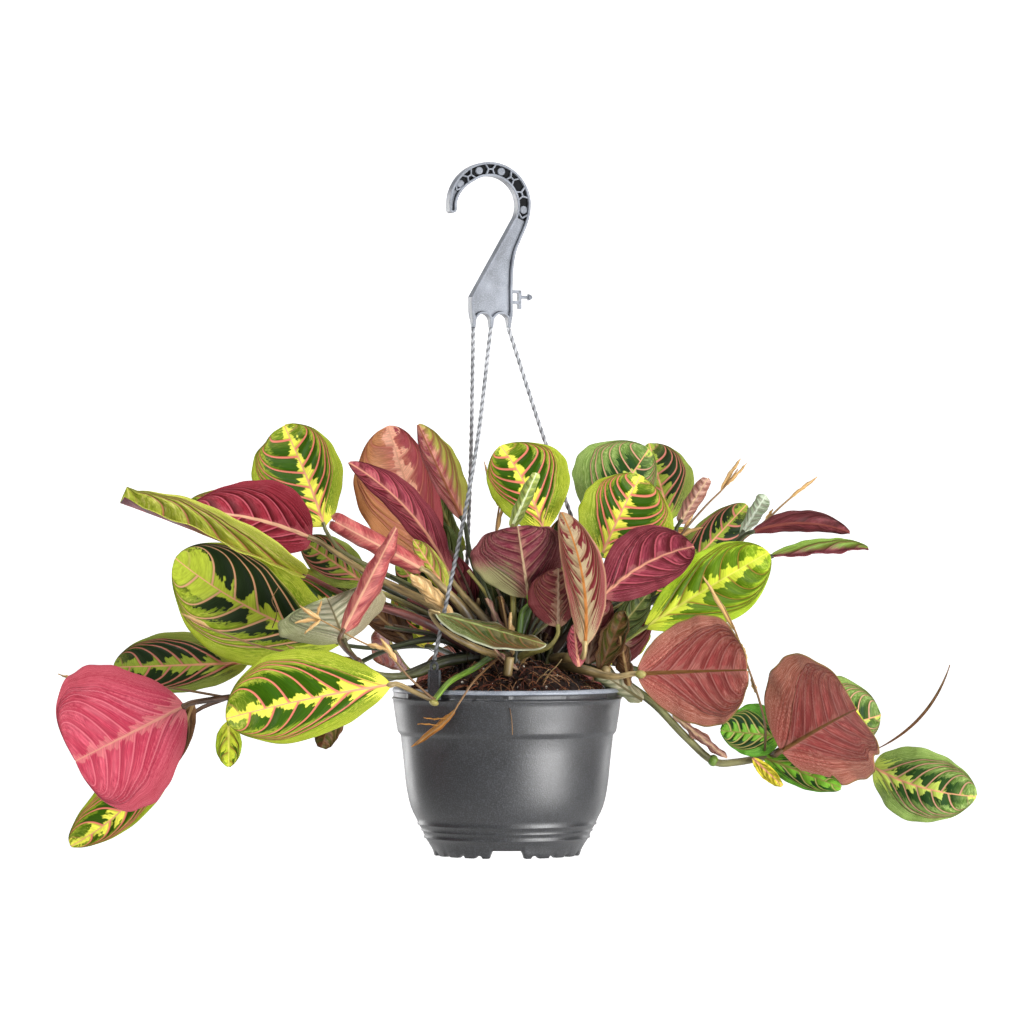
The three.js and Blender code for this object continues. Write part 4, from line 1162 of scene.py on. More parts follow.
leafSkins = {
    "lime": dict(),
    "split": dict(patch="16240f", tuft="a9b838", tuftReach=8, flood=0.5, patchStart=0.27, patchSlant=0.34,
        left=("9db030", 0.3), vein="cf9a74", dark=1.6),
    "soft": dict(margin="b2ba3c", middle="a4b034", stripe="ecdc94", patches=0.12, tufts=0.25,
        groove="66761c", grooves=0.9, vein="c07a60", veinWidth=0.55),
    "dark": dict(margin="7c8c38", middle="56662a", stripe="a8ac58", stripes=0.5, patch="1c2c16",
        patchStart=0.7, tuft="93a53c", tuftReach=7, vein="c77a6a", groove="34421a"),
    "greyGreen": dict(margin="748e40", middle="5c7a34", stripe="c3d488", stripes=0.55, patch="22401c",
        patchStart=0.3, patchSlant=0.25, tuft="b8c85a", tuftReach=8, flood=-0.45, vein="c8937a",
        veinWidth=0.45, groove="49682a"),
    "bright": dict(margin="8eac20", middle="80a01a", stripe="cfda4e", patch="426408", patchStart=0.52,
        tuft="c4d03c", tuftReach=7.5, flood=0.05, vein="98702c", veinWidth=0.3, midrib="d8d65c",
        patches=0.8, groove="5c7c10"),
    "fresh": dict(margin="4f8a24", middle="2f6a1e", stripe="86b848", patch="16381a", patchStart=0.6,
        tuft="74ac34", tuftReach=7, vein="b8a868", veinWidth=0.4, midrib="8a8a42", groove="1f4c14"),
    "plain": dict(margin="505c28", middle="3e4e1e", stripe="a6aa72", patches=0.6, patch="2c3a14",
        tufts=0.2, tuft="9a8a58", veins=0.15, midrib="8a9456", rim="cdd2b4", groove="3c4a1e", grooves=0.7,
        tip=("5e3d26", 0.52)),
    "crimson": dict(underHabit, margin="7c1c28", middle="982a38", stripe="c35563", groove="5a0e16",
        tuft="b65860", vein="d46472", veins=0.75, midrib="e2b08c", midribWidth=1.0, shade=0.9,
        shadeTint="4c0a0e"),
    "deepCrimson": dict(underHabit, margin="5c2226", middle="7c363a", stripe="a0605a", groove="3c1012",
        tuft="a9836b", tufts=0.8, vein="96604e", midrib="b0907a", shadeTint="3c120e"),
    "pink": dict(underHabit, margin="9c3a46", middle="ae3a4f", stripe="d47480", groove="862234",
        tuft="cc7f7c", tufts=0.5, tuftReach=6, vein="d2747f", veinWidth=0.4, veins=0.6, midrib="c48474",
        shade=0.65, shadeTint="a03346"),
    "rose": dict(underHabit, margin="9c5846", middle="b25a50", stripe="e2ac98", stripes=0.75, grooves=0.75,
        groove="743428", patch="94303c", patches=0.45, patchSoft=0.3, mottle=0.32, shade=0.45,
        patchStart=0.5, patchSlant=0.4, tuft="b97c70", vein="c4847c", veins=0.5, midrib="75502c",
        midribWidth=1.1, shadeTint="762f2a", rim="86743a"),
    "sliver": dict(underHabit, margin="6c2a34", middle="84384a", stripe="b06a70", groove="48141e",
        veins=0.3, vein="b05a64", midrib="8c5048", left=("76943a", 1.0), tufts=0.1, tuft="a87068",
        shadeTint="42101a"),
    "husk": dict(underHabit, margin="4c1f20", middle="6a2c30", stripe="985458", stripes=0.5,
        groove="34100f", tufts=0, veins=0.2, vein="8a4448", midrib="7c4038", shadeTint="34100f"),
    "burgundy": dict(underHabit, margin="6c2630", middle="8a3444", stripe="b86068", groove="48141e",
        tuft="c07872", tufts=0.3, vein="c45a68", veins=0.7, midrib="cf9076", shade=0.75,
        shadeTint="42140e"),
    "mauve": dict(underHabit, margin="6a2e34", middle="7e3242", stripe="bd8a84", stripes=0.5,
        groove="4b1820", tuft="976a57", vein="a87868", veins=0.5, midrib="bda080",
        left=("8e8e62", 0.9, 0.4), shade=0.8, shadeTint="40121a"),
    "mauvePink": dict(underHabit, margin="8a3c48", middle="a64c5a", stripe="d2a08e", stripes=0.5,
        groove="6e3428", tuft="c99a7c", vein="9c4c42", midrib="8a5036", right=("98a03c", 0.85),
        shadeTint="6c222e"),
    "peach": dict(underHabit, margin="b86c48", middle="c87460", stripe="eeb494", stripes=0.5,
        groove="9c5a3c", tuft="eeb094", tufts=0.9, tuftReach=8, vein="c87868", midrib="d89c80",
        left=("c08a50", 0.6), right=("98384a", 0.85), shade=0.4, shadeTint="92443a"),
    "pale": dict(underHabit, margin="8c8e68", middle="bab69a", stripe="ece6cc", stripes=0.75,
        groove="5f6440", grooves=0.7, tuft="b4ab88", vein="77805a", veins=0.5, midrib="7a7050",
        left=("82944e", 0.4), right=("8c7458", 0.5), shade=0.3, shadeTint="565a40"),
    "dustyPink": dict(underHabit, margin="9c4444", middle="b55456", stripe="dc9c88", stripes=0.5,
        groove="7c2e30", tuft="cc8474", vein="96404a", veins=0.4, midrib="d09c80", shadeTint="7c2c30"),
    "fadedPink": dict(underHabit, margin="9c6454", middle="ac7868", stripe="d9b8a0", stripes=0.6,
        groove="744438", tufts=0.2, tuft="d9bcae", vein="7c4840", veins=0.4, midrib="c0a080",
        shadeTint="744438"),
    "young": dict(margin="a4b84e", middle="b2c468", stripe="e9edc4", stripes=0.7, patches=0.25, tufts=0.2,
        vein="8aa548", veins=0.3, midrib="dfe8b8", groove="7c9440"),
    "whitish": dict(margin="90a878", middle="b0c0a0", stripe="e6ecdf", stripes=0.7, patches=0, tufts=0.2,
        tuft="dfe6d6", vein="a08a80", veins=0.3, midrib="cfd8c4", left=("6d8a50", 0.4), groove="748c5c"),
    "marbled": dict(underHabit, margin="7c3034", middle="8c3c40", stripe="b47c6e", groove="5c1c1e",
        patch="701c26", patches=0.85, patchStart=0.75, tuft="a89672", tufts=0.9, tuftReach=8,
        vein="b08c68", veins=0.4, midrib="ab6c34", midribWidth=0.9, rim="b48a6c", shadeTint="5c201a"),
    "olive": dict(underHabit, margin="34401c", middle="424e22", stripe="78824a", stripes=0.5,
        groove="1c260e", tuft="6c7840", vein="7c7c48", veins=0.4, midrib="8c8650", shadeTint="161c0a"),
    "brown": dict(underHabit, margin="54361f", middle="63402a", stripe="a07c54", stripes=0.5,
        groove="2c180c", tuft="8c6848", vein="85603f", veins=0.5, midrib="a8885c", shadeTint="2c180c"),
    "straw": dict(underHabit, margin="cfa464", middle="dcb67c", stripe="f4e6bc", stripes=0.6,
        groove="b88a54", grooves=0.3, tufts=0.0, veins=0.0, midrib="c8a068", shade=0.1,
        shadeTint="8a5c2c"),
    "tan": dict(underHabit, margin="8c5426", middle="a2682f", stripe="d09a54", stripes=0.6,
        groove="6a3c18", tufts=0, veins=0, midrib="b07c40", shade=0.1, shadeTint="5c3416"),
    "yellow": dict(margin="e0cf30", middle="d8c82a", stripe="efe66a", patches=0, tufts=0, veins=0.2,
        vein="b89a30", groove="b09c20"),
    "dry": dict(underHabit, margin="4a2f1e", middle="563722", stripe="8c683f", stripes=0.5,
        groove="24140a", tufts=0, veins=0, midrib="6a4a30"),
}


# One leaf finish: where a spot lies among the veins settles which of the tints it takes.
class LeafWiring(Wiring):
    def __init__(self, name, look):
        super().__init__("leaf_" + name, look["shine"])
        self.look = look
        self.shader.inputs["Specular IOR Level"].default_value = look["gloss"]
        self.t, self.q, self.away = self.parts("spot")
        self.veins, self.half, self.length = self.parts("facts")
        self.lean, self.hue = self.parts("tint")[:2]
        self.a = self.sum("ABSOLUTE", self.q)
        self.findVein()
        self.broad = self.streaks(5.5, 2.0, self.half, 3, 0.6)
        self.fine = self.streaks(17.0, 4.0, self.length, 3, 0.65)
        self.patchy = self.streaks(1.3, 3.0, self.length, 2, 0.5)

    def times(self, first, *others):
        for other in others:
            first = self.sum("MULTIPLY", first, other)
        return first

    def plus(self, first, *others):
        for other in others:
            first = self.sum("ADD", first, other)
        return first

    # The same sums as veinCount, and the distance to the nearest vein in millimetres.
    def findVein(self):
        cube = self.sum("POWER", self.a, 3.0)
        crowd = self.sum("SUBTRACT", 0.93, self.lean)
        sweep = self.plus(self.times(self.a, self.lean), self.times(cube, self.a, crowd))
        rest = self.sum("SUBTRACT", 1.0, sweep)
        self.root = self.sum("DIVIDE", self.sum("SUBTRACT", self.t, sweep), rest)
        shift = self.times(self.sum("LESS_THAN", self.q, 0.0), self.look["shift"])
        self.count = self.plus(self.times(self.root, self.veins), shift)
        self.phase = self.sum("FRACT", self.count)
        near = self.sum("SUBTRACT", 0.5, self.sum("ABSOLUTE", self.sum("SUBTRACT", self.phase, 0.5)))
        alongStep = self.sum("DIVIDE", self.veins, self.times(rest, self.length))
        bank = self.plus(self.lean, self.times(cube, 4.0, crowd))
        across = self.times(self.veins, bank, self.sum("SUBTRACT", 1.0, self.t))
        acrossStep = self.sum("DIVIDE", across, self.times(rest, rest, self.half))
        squares = self.plus(self.sum("POWER", alongStep, 2.0), self.sum("POWER", acrossStep, 2.0))
        steep = self.sum("SQRT", squares)
        self.veinAway = self.sum("DIVIDE", near, steep)
        self.alive = self.times(self.fade(self.root, -0.01, 0.03), self.fade(self.root, 0.95, 0.86))

    # Grain that runs with the veins.
    def streaks(self, along, out, seed, detail, roughness):
        spread = self.join(self.times(self.count, along), self.times(self.a, out), seed)
        return self.grain(1.0, detail, roughness, spread)

    # A limit made uneven, by up to about half the amount each way.
    def ragged(self, limit, amount):
        return self.plus(limit, self.times(self.sum("SUBTRACT", self.broad, 0.5), amount))

    # A share that is full below the limit and none above it.
    def within(self, value, limit, soft, amount=1.0):
        return self.fade(self.sum("SUBTRACT", value, limit), soft, -soft, 0.0, amount)

    # The pale feather along the midrib, wider by the vein nearer the base.
    def tuftShare(self):
        look = self.look
        slant = self.sum("SUBTRACT", 1.2, self.phase)
        half = self.sum("FRACT", self.times(self.count, 2.0))
        jag = self.sum("ABSOLUTE", self.sum("SUBTRACT", half, 0.5))
        reach = self.times(self.plus(slant, self.times(jag, 0.7)), look["tuftReach"] * 0.85)
        reach = self.times(reach, self.fade(self.patchy, 0.3, 0.7, 0.45, 1.5))
        reach = self.times(reach, self.sum("SUBTRACT", 1.1, self.times(self.t, 0.5)))
        reach = self.ragged(reach, 6.0)
        flood = self.times(self.fade(self.t, 0.62, 0.98), self.half, look["flood"])
        reach = self.plus(reach, flood, self.fade(self.t, 0.14, 0.0, 0.0, 5.0))
        return self.within(self.away, reach, 0.6, look["tufts"])

    # The dark field between veins, longer by the vein nearer the tip.
    def patchShare(self):
        look = self.look
        limit = self.plus(look["patchStart"], self.times(self.phase, look["patchSlant"]))
        limit = self.ragged(limit, 0.9)
        limit = self.plus(limit, self.fade(self.q, 0.0, 0.25, 0.0, look["dark"] * 0.5))
        share = self.within(self.a, limit, look["patchSoft"], look["patches"])
        return self.times(share, self.fade(self.root, 0.0, 0.08), self.fade(self.root, 0.94, 0.76))

    # One side of the midrib in another tint, all along or only up to a share of the length.
    def sideTint(self, body, side, picked):
        if not picked:
            return body
        tintColour, amount, *limit = picked
        place = self.plus(self.times(self.q, side), self.times(self.broad, -0.5))
        share = self.fade(place, -0.2, 0.25, 0.0, amount)
        if limit:
            share = self.times(share, self.fade(self.ragged(self.t, 0.5), limit[0] + 0.08, limit[0] - 0.08))
        return self.mix(share, body, tintColour)

    def paint(self):
        look = self.look
        body = self.mix(self.fade(self.a, 0.95, 0.4), look["margin"], look["middle"])
        body = self.mix(self.fade(self.patchy, 0.35, 0.75, 0.0, look["cloud"]), body, look["stripe"])
        outer = self.fade(self.a, 0.1, 0.55, 0.45, 1.0)
        low = self.fade(self.broad, 0.5, 0.3, 0.0, look["grooves"])
        body = self.mix(self.times(low, outer), body, look["groove"])
        high = self.fade(self.broad, 0.5, 0.7, 0.0, look["stripes"])
        body = self.mix(self.times(high, outer), body, look["stripe"])
        body = self.mix(self.fade(self.fine, 0.52, 0.8, 0.0, look["stripes"] * 0.6), body, look["stripe"])
        body = self.sideTint(body, -1.0, look["left"])
        body = self.sideTint(body, 1.0, look["right"])
        if look["tip"]:
            tipColour, start = look["tip"]
            share = self.fade(self.ragged(self.t, 0.5), start - 0.15, start + 0.15, 0.0, 0.85)
            body = self.mix(share, body, tipColour)
        body = self.mix(self.patchShare(), body, look["patch"])
        # Painted shade in each field between veins, deepening towards the next vein.
        rising = self.fade(self.phase, 0.2, 0.97)
        paintedValleyShade = self.times(rising, self.fade(self.a, 0.98, 0.5, 0.0, look["shade"]))
        body = self.mix(paintedValleyShade, body, look["shadeTint"])
        body = self.mix(self.tuftShare(), body, look["tuft"])
        gleam = self.fade(self.fine, 0.25, 0.75, 1 - look["mottle"], 1 + look["mottle"])
        gleam = self.times(gleam, self.fade(self.hue, 0.0, 1.0, 0.9, 1.08))
        body = self.dim(body, gleam)
        thin = self.fade(self.a, 0.15, 1.0, look["veinWidth"] * 1.1, look["veinWidth"] * 0.35)
        # A painted shadow beside each vein, in the shade tint.
        beside = self.fade(self.sum("SUBTRACT", self.veinAway, self.plus(thin, 0.5)), 0.7, -0.1, 0.0, 0.35)
        body = self.mix(self.times(beside, self.alive), body, look["shadeTint"])
        line = self.within(self.veinAway, thin, 0.2, look["veins"])
        line = self.times(line, self.alive, self.fade(self.a, 0.97, 0.82))
        body = self.mix(line, body, look["vein"])
        wide = self.fade(self.t, 0.0, 1.0, look["midribWidth"] * 1.2, look["midribWidth"] * 0.45)
        body = self.mix(self.within(self.away, wide, 0.3), body, look["midrib"])
        if look["rim"]:
            edge = self.fade(self.sum("SUBTRACT", self.half, self.away), 1.6, 0.2, 0.0, 0.8)
            body = self.mix(edge, body, look["rim"])
        # The leaf's colour takes the painted crown shade.
        self.colour(self.paintedCrownShade(body))
        skinGrain = self.grain(1500, 2)
        self.rough(self.fade(skinGrain, 0.3, 0.7, look["shine"] - 0.06, look["shine"] + 0.1))
        pucker = self.sum("SINE", self.times(self.phase, math.pi))
        fine = self.times(self.fine, 0.14)
        height = self.plus(fine, self.times(skinGrain, 0.05), self.times(pucker, self.alive, 0.9))
        self.bump(height, look["relief"], 0.0012)
        return self.material


skins = {name: LeafWiring(name, {**skinHabit, **look}).paint() for name, look in leafSkins.items()}
print("leaf finishes mixed")


# Which finish faces the viewer and which faces away: 0 is the upper side's, 1 the underside's.
def facing(leaf):
    return (0, 1) if leaf["shows"] == "upper" else (1, 0)


def growLeaf(piece, name, leaf, *nodes):
    gather = newGather()
    leafSheet(gather, name, leaf, facing(leaf))
    slot = "leaf_upper" if leaf["shows"] == "upper" else "leaf_underside"
    settle(piece, gather, [skins[leaf["upper"]], skins[leaf["under"]]], slot, *nodes)


for name, leaf in leaves.items():
    growLeaf("blade_" + name, name, fullLeaf(leaf), "leaf_" + name)
print("leaves spread")


# A clump is one crown with the stems that leave it. Each stem runs from the crown, or from its own start,
# through via to its leaf. Looks are pairs of tints, from its foot to its leaf.

stemLooks = {
    "green": ("8a8a3c", "9aa84a"),
    "fresh": ("5f8a2a", "86a83c"),
    "yellow": ("a8a050", "c9bf72"),
    "red": ("6e3a34", "a2544c"),
    "beige": ("8a7448", "cbb27a"),
    "dark": ("3a4224", "4f5a30"),
    "moss": ("66703c", "928c60"),
    "brown": ("5a4030", "7a5a3c"),
}

stemHabit = dict(radius=1.5, look="green", start=None, leaf=None, sheath=0.35)

clumps = {
    "left": dict(crown=(-16, -14), stems=(
        dict(leaf="lime_top_left", via=((-30, -10, 42), (-60, -8, 64), (-90, -7, 79), (-109, -6, 90)),
            look="moss"),
        dict(leaf="burgundy_left", via=((-40, -24, 48), (-91, -28, 75)), radius=2.1, look="beige"),
        dict(leaf="folded_long_left", via=((-60, -38, 46), (-98, -48, 58)), look="red", radius=1.8),
        dict(leaf="large_left", via=((-45, -24, 32), (-80, -26, 26)), look="dark"),
        dict(via=((-40, -14, 18), (-76, -13, 6), (-130, -13, -1), (-182, -18, -6)), radius=2.0,
            look="moss"),
        dict(leaf="dark_low_left", start=(-130, -13, -1), via=((-152, -9, 6),), look="brown"),
        dict(leaf="pink_far_left", start=(-180, -18, -6), via=((-196, -27, -8),), look="brown",
            radius=1.9),
        dict(leaf="lime_lowest_left", start=(-180, -18, -6), via=((-200, -16, -14),), look="brown"),
        dict(leaf="small_hanging", start=(-165, -16, -5), via=((-174, -40, -8),), radius=1.0,
            look="green"),
        dict(leaf="pale_under_left", via=((-40, -26, 17), (-62, -37, 9), (-84, -46, 10), (-97, -50, 20)),
            radius=1.9, look="moss"),
        dict(leaf="pink_rolled", start=(-96, -49.5, 19), via=((-104, -78, 28),), look="brown"),
        dict(leaf="pink_tube", via=((-26, -24, 48), (-42, -34, 66)), radius=2.0, look="beige"),
        dict(leaf="dark_middle_left", via=((-40, 0, 40), (-70, 4, 56)), look="yellow", radius=1.9),
        dict(leaf="lime_behind_left", via=((-46, 10, 46), (-100, 28, 74)), look="dark"),
    )),
    "centre": dict(crown=(4, -26), stems=(
        dict(leaf="peach_top", via=((-16, -10, 40), (-36, 0, 60)), look="beige"),
        dict(leaf="burgundy_folded", via=((-12, -22, 42), (-28, -22, 60)), radius=2.0, look="beige"),
        dict(leaf="pink_green_top", via=((-10, -18, 50), (-24, -14, 88)), look="dark"),
        dict(leaf="lime_top_centre", via=((14, -26, 50), (20, -26, 80)), look="fresh"),
        dict(leaf="young_rolled", via=((4, -33, 60), (1, -40, 88)), radius=1.2, look="yellow"),
        dict(leaf="mauve_centre", via=((8, -34, 36), (10, -37, 50)), look="fresh"),
        dict(leaf="crimson_low_centre", via=((16, -38, 24), (28, -46, 28)), look="yellow"),
        dict(leaf="flopped_front", via=((-18, -50, 26), (-42, -66, 40)), look="beige"),
        dict(via=((-6, -34, 22), (-22, -44, 13), (-37, -62, 5), (-44, -69, -3), (-47, -72, -7)),
            radius=2.2, look="fresh", sheath=0),
        dict(leaf="lime_front_left", start=(-46, -71.5, -6), via=((-58, -75, -1),), radius=1.8,
            look="beige", sheath=0),
    )),
    "right": dict(crown=(26, -10), stems=(
        dict(leaf="lime_right", via=((40, -10, 44), (54, -12, 70)), look="fresh"),
        dict(leaf="grey_green_top", via=((36, 4, 50), (52, 12, 84)), look="dark"),
        dict(leaf="burgundy_right", via=((40, -22, 36), (54, -30, 48)), look="brown"),
        dict(leaf="pink_tube_right", via=((60, 2, 46), (94, 6, 74), (110, 9, 95)), look="dark"),
        dict(leaf="dark_right", via=((60, 2, 36), (86, 6, 50)), look="dark"),
        dict(leaf="lime_bright_right", via=((54, -18, 18), (74, -20, 29)), look="green"),
        dict(leaf="standing_centre", via=((38, -34, 20), (47, -54, 19)), radius=2.0, look="beige"),
        dict(leaf="white_tube", via=((66, 1, 38), (120, 1, 73), (146, 0, 92)), look="dark"),
        dict(leaf="burgundy_long_right", start=(140, 0, 87), via=((150, -8, 95),), look="dark"),
        dict(leaf="folded_thin_right", start=(132, 1, 81), via=((154, 3, 84),), look="dark"),
        dict(leaf="rose_right", via=((50, -28, 12), (70, -38, 8)), radius=2.0, look="beige"),
        dict(via=((52, -1, 13), (74, 1, 4.6), (84, 1, -2), (97, 1, -12), (117, 1, -33), (136, 1, -49),
            (150, 1, -49), (166, 0, -46), (178, -3, -43)), radius=2.8, look="moss", sheath=0),
        dict(leaf="rose_far_right", start=(172, -1, -44.5), via=((175, -9, -44),), radius=1.8,
            look="brown"),
        dict(leaf="green_small_right", start=(170, 0, -45), via=((182, -2, -37),), look="dark"),
        dict(leaf="green_behind_rose", start=(172, 0, -44), via=((184, 8, -41),), look="brown"),
        dict(leaf="grey_green_far_right", start=(172, -1, -44.5), via=((200, 1, -50), (222, 0, -54)),
            look="brown"),
        dict(leaf="spike_right", start=(222, 0, -54), via=((233, 4, -48),), radius=1.2, look="brown"),
    )),
    "back": dict(crown=(0, 20), stems=(
        dict(leaf="olive_narrow", via=((-12, 26, 45), (-24, 32, 68)), look="dark"),
        dict(leaf="dark_top_right", via=((30, 32, 44), (70, 42, 74), (98, 46, 96)), look="dark"),
        dict(leaf="back_high", via=((-6, 36, 48), (-20, 60, 76)), look="green"),
        dict(leaf="back_left", via=((-30, 48, 40), (-62, 80, 46)), look="green"),
        dict(leaf="back_right", via=((24, 44, 42), (48, 72, 56)), look="beige"),
        dict(leaf="back_low", via=((4, 50, 24), (5, 84, 16), (6, 106, 12)), look="brown"),
        dict(leaf="back_low_left", via=((-6, 50, 26), (-14, 84, 26)), look="green"),
    )),
}

# Shoots at the back: a stem with its own small leaves, all one piece.
shoots = {
    "back_left": dict(
        stem=((-24, 34, 11), (-34, 52, 18), (-52, 84, 24), (-78, 112, 22), (-104, 132, 10)),
        leaves=(
            dict(base=(-52, 84, 24), tip=(-62, 146, 72), halves=(20, 22), rise=6, roll=-16),
            dict(shows="under", base=(-78, 112, 22), tip=(-92, 180, 14), halves=(20, 20), rise=7),
            dict(shows="under", base=(-104, 132, 10), tip=(-148, 164, -24), halves=(19, 19), rise=7),
        ),
    ),
    "back_right": dict(
        stem=((30, 28, 11.2), (44, 50, 14), (62, 84, 14), (88, 108, 8), (110, 122, -4)),
        leaves=(
            dict(base=(62, 84, 14), tip=(84, 146, 52), halves=(20, 22), rise=6, roll=10),
            dict(shows="under", base=(62, 84, 14), tip=(48, 152, -36), halves=(18, 18), rise=8),
            dict(base=(88, 108, 8), tip=(124, 164, 22), halves=(20, 20), rise=7, roll=16),
            dict(shows="under", base=(110, 122, -4), tip=(142, 158, -18), halves=(16, 16), rise=5),
        ),
    ),
}


def stemFinish(name):
    wiring = Wiring(name, 0.45)
    s, turn, seed = wiring.parts("spot")
    spread = wiring.join(wiring.sum("MULTIPLY", turn, 3.0), wiring.sum("MULTIPLY", s, 0.05), seed)
    streak = wiring.grain(1.0, 3, 0.6, spread)
    mottle = wiring.grain(260, 3)
    shade = wiring.mix(wiring.fade(streak, 0.3, 0.72), "8f8a80", "ffffff")
    body = wiring.mix(1.0, wiring.tint(), shade, "MULTIPLY")
    body = wiring.mix(wiring.fade(mottle, 0.55, 0.8, 0, 0.35), body, "4a3322")
    # The stem's colour takes the painted crown shade.
    wiring.colour(wiring.paintedCrownShade(body))
    wiring.rough(wiring.fade(mottle, 0.3, 0.7, 0.38, 0.55))
    wiring.bump(streak, 0.5, 0.0006)
    return wiring.material


stemSkin = stemFinish("stemSkin")


# Where a leaf's midrib starts, and the way that it heads there.
def leafStart(leaf):
    t = np.array([[0.0, 0.12]])
    q = np.zeros((1, 2))
    half = np.full((1, 2), 1.0)
    spots = leafGrid(leaf, t, q, half)[0]
    return spots[0], unit(spots[1] - spots[0])


def addStem(gather, stem, foot, rng, finish=0):
    stem = {**stemHabit, **stem}
    start = stem["start"] or foot
    route = [np.array(start, dtype=float)] + [np.array(point, dtype=float) for point in stem["via"]]
    if stem["leaf"]:
        base, into = leafStart(fullLeaf(leaves[stem["leaf"]]))
        route += [base - into * 4, base - into * 0.6, base + into * 3]
    steps = max(14, int(lineLength(np.array(route)) / 3))
    line = smoothLine(route, steps)
    share = np.linspace(0, 1, len(line))
    size = stem["radius"] * (1.05 - 0.2 * share)
    if stem["sheath"] and stem["start"] is None:
        size = size * (1 + 0.75 * fadeIn(-share, -stem["sheath"] * 1.5, -stem["sheath"] * 0.4))
    if stem["leaf"]:
        reach = lineLength(line) * (1 - share)
        joint = fadeIn(-reach, -12, -9) * fadeIn(reach, 2, 4)  # the swelling under the blade
        size = size * (1 + 0.22 * joint)
        size = size * (0.35 + 0.65 * fadeIn(reach, 0, 3))
    sides = 12
    seed = rng.uniform(0, 50)
    far = np.concatenate([[0], np.cumsum(np.linalg.norm(np.diff(line, axis=0), axis=1))])
    tints = tintsAlong(stemLooks[stem["look"]], share, sides)
    turns = np.tile(np.arange(sides) / sides * 2, len(line))
    spot = np.stack([np.repeat(far, sides), np.abs(turns - 1), np.full(len(turns), seed)], axis=-1)
    addTube(gather, toFrame(line), size * mm, sides, finish=finish, tint=tints, spot=spot,
            flat=1 - 0.12 * rng.random())


def buildClump(label, clump):
    rng = random.Random(label)
    x, y = clump["crown"]
    foot = (x, y, moundHeight(math.hypot(x, y)) + 3)
    gather = newGather()
    for stem in clump["stems"]:
        addStem(gather, stem, foot, rng)
    addCrown(gather, foot, rng)
    settle("stalks_" + label, gather, [stemSkin], "stem", "stems_" + label)


# The stub of old stems that the stalks grow from.
def addCrown(gather, foot, rng):
    for i in range(9):
        turn = 2 * math.pi * i / 9 + rng.uniform(-0.2, 0.2)
        out = rng.uniform(1.5, 5)
        tall = rng.uniform(6, 17)
        lean = rng.uniform(1, 5)
        low = np.array(foot) + (*polar(out, turn), -6)
        high = np.array(foot) + (*polar(out + lean, turn), tall)
        look = stemLooks[rng.choice(("beige", "brown", "yellow", "dark"))]
        line = smoothLine([low, (low + high) / 2, high], 10)
        tints = tintsAlong(look, np.linspace(0, 1, 11), 10)
        radius = np.linspace(2.9, 1.7, 11) * rng.uniform(0.8, 1.15)
        addTube(gather, toFrame(line), radius * mm, 10, tint=tints, flat=0.7)


for label, clump in clumps.items():
    buildClump(label, clump)


def buildShoot(label, shoot):
    rng = random.Random(label)
    gather = newGather()
    foot, *via = shoot["stem"]
    addStem(gather, {"start": foot, "via": via, "radius": 2.0, "look": "dark"}, None, rng, finish=2)
    for i, leaf in enumerate(shoot["leaves"]):
        leaf = fullLeaf(leaf)
        leafSheet(gather, f"{label}{i}", leaf, facing(leaf))
    finishes = [skins["lime"], skins["rose"], stemSkin]
    settle("growth_" + label, gather, finishes, "leaf_upper", "shoot_" + label)


for label, shoot in shoots.items():
    buildShoot(label, shoot)
print("stems grown")


# Old growth round the crowns: bare stalks, papery sheaths, straws and scraps of leaf.
heartSetup = {
    "stalks": 44,
    "stalkRadius": (0.8, 1.7),
    "stalkLooks": ("dark", "dark", "brown", "beige", "red", "green", "fresh", "yellow"),
    "sheaths": 46,
    "sheathSkins": ("brown", "brown", "dry", "straw", "olive", "fadedPink", "deepCrimson", "dustyPink"),
    "straws": 70,
    "strawColours": (
        ("8a5c34", "c79a5e"), ("5c3a20", "96683c"), ("b08a50", "e0c890"), ("3a2414", "6a4426"),
    ),
}

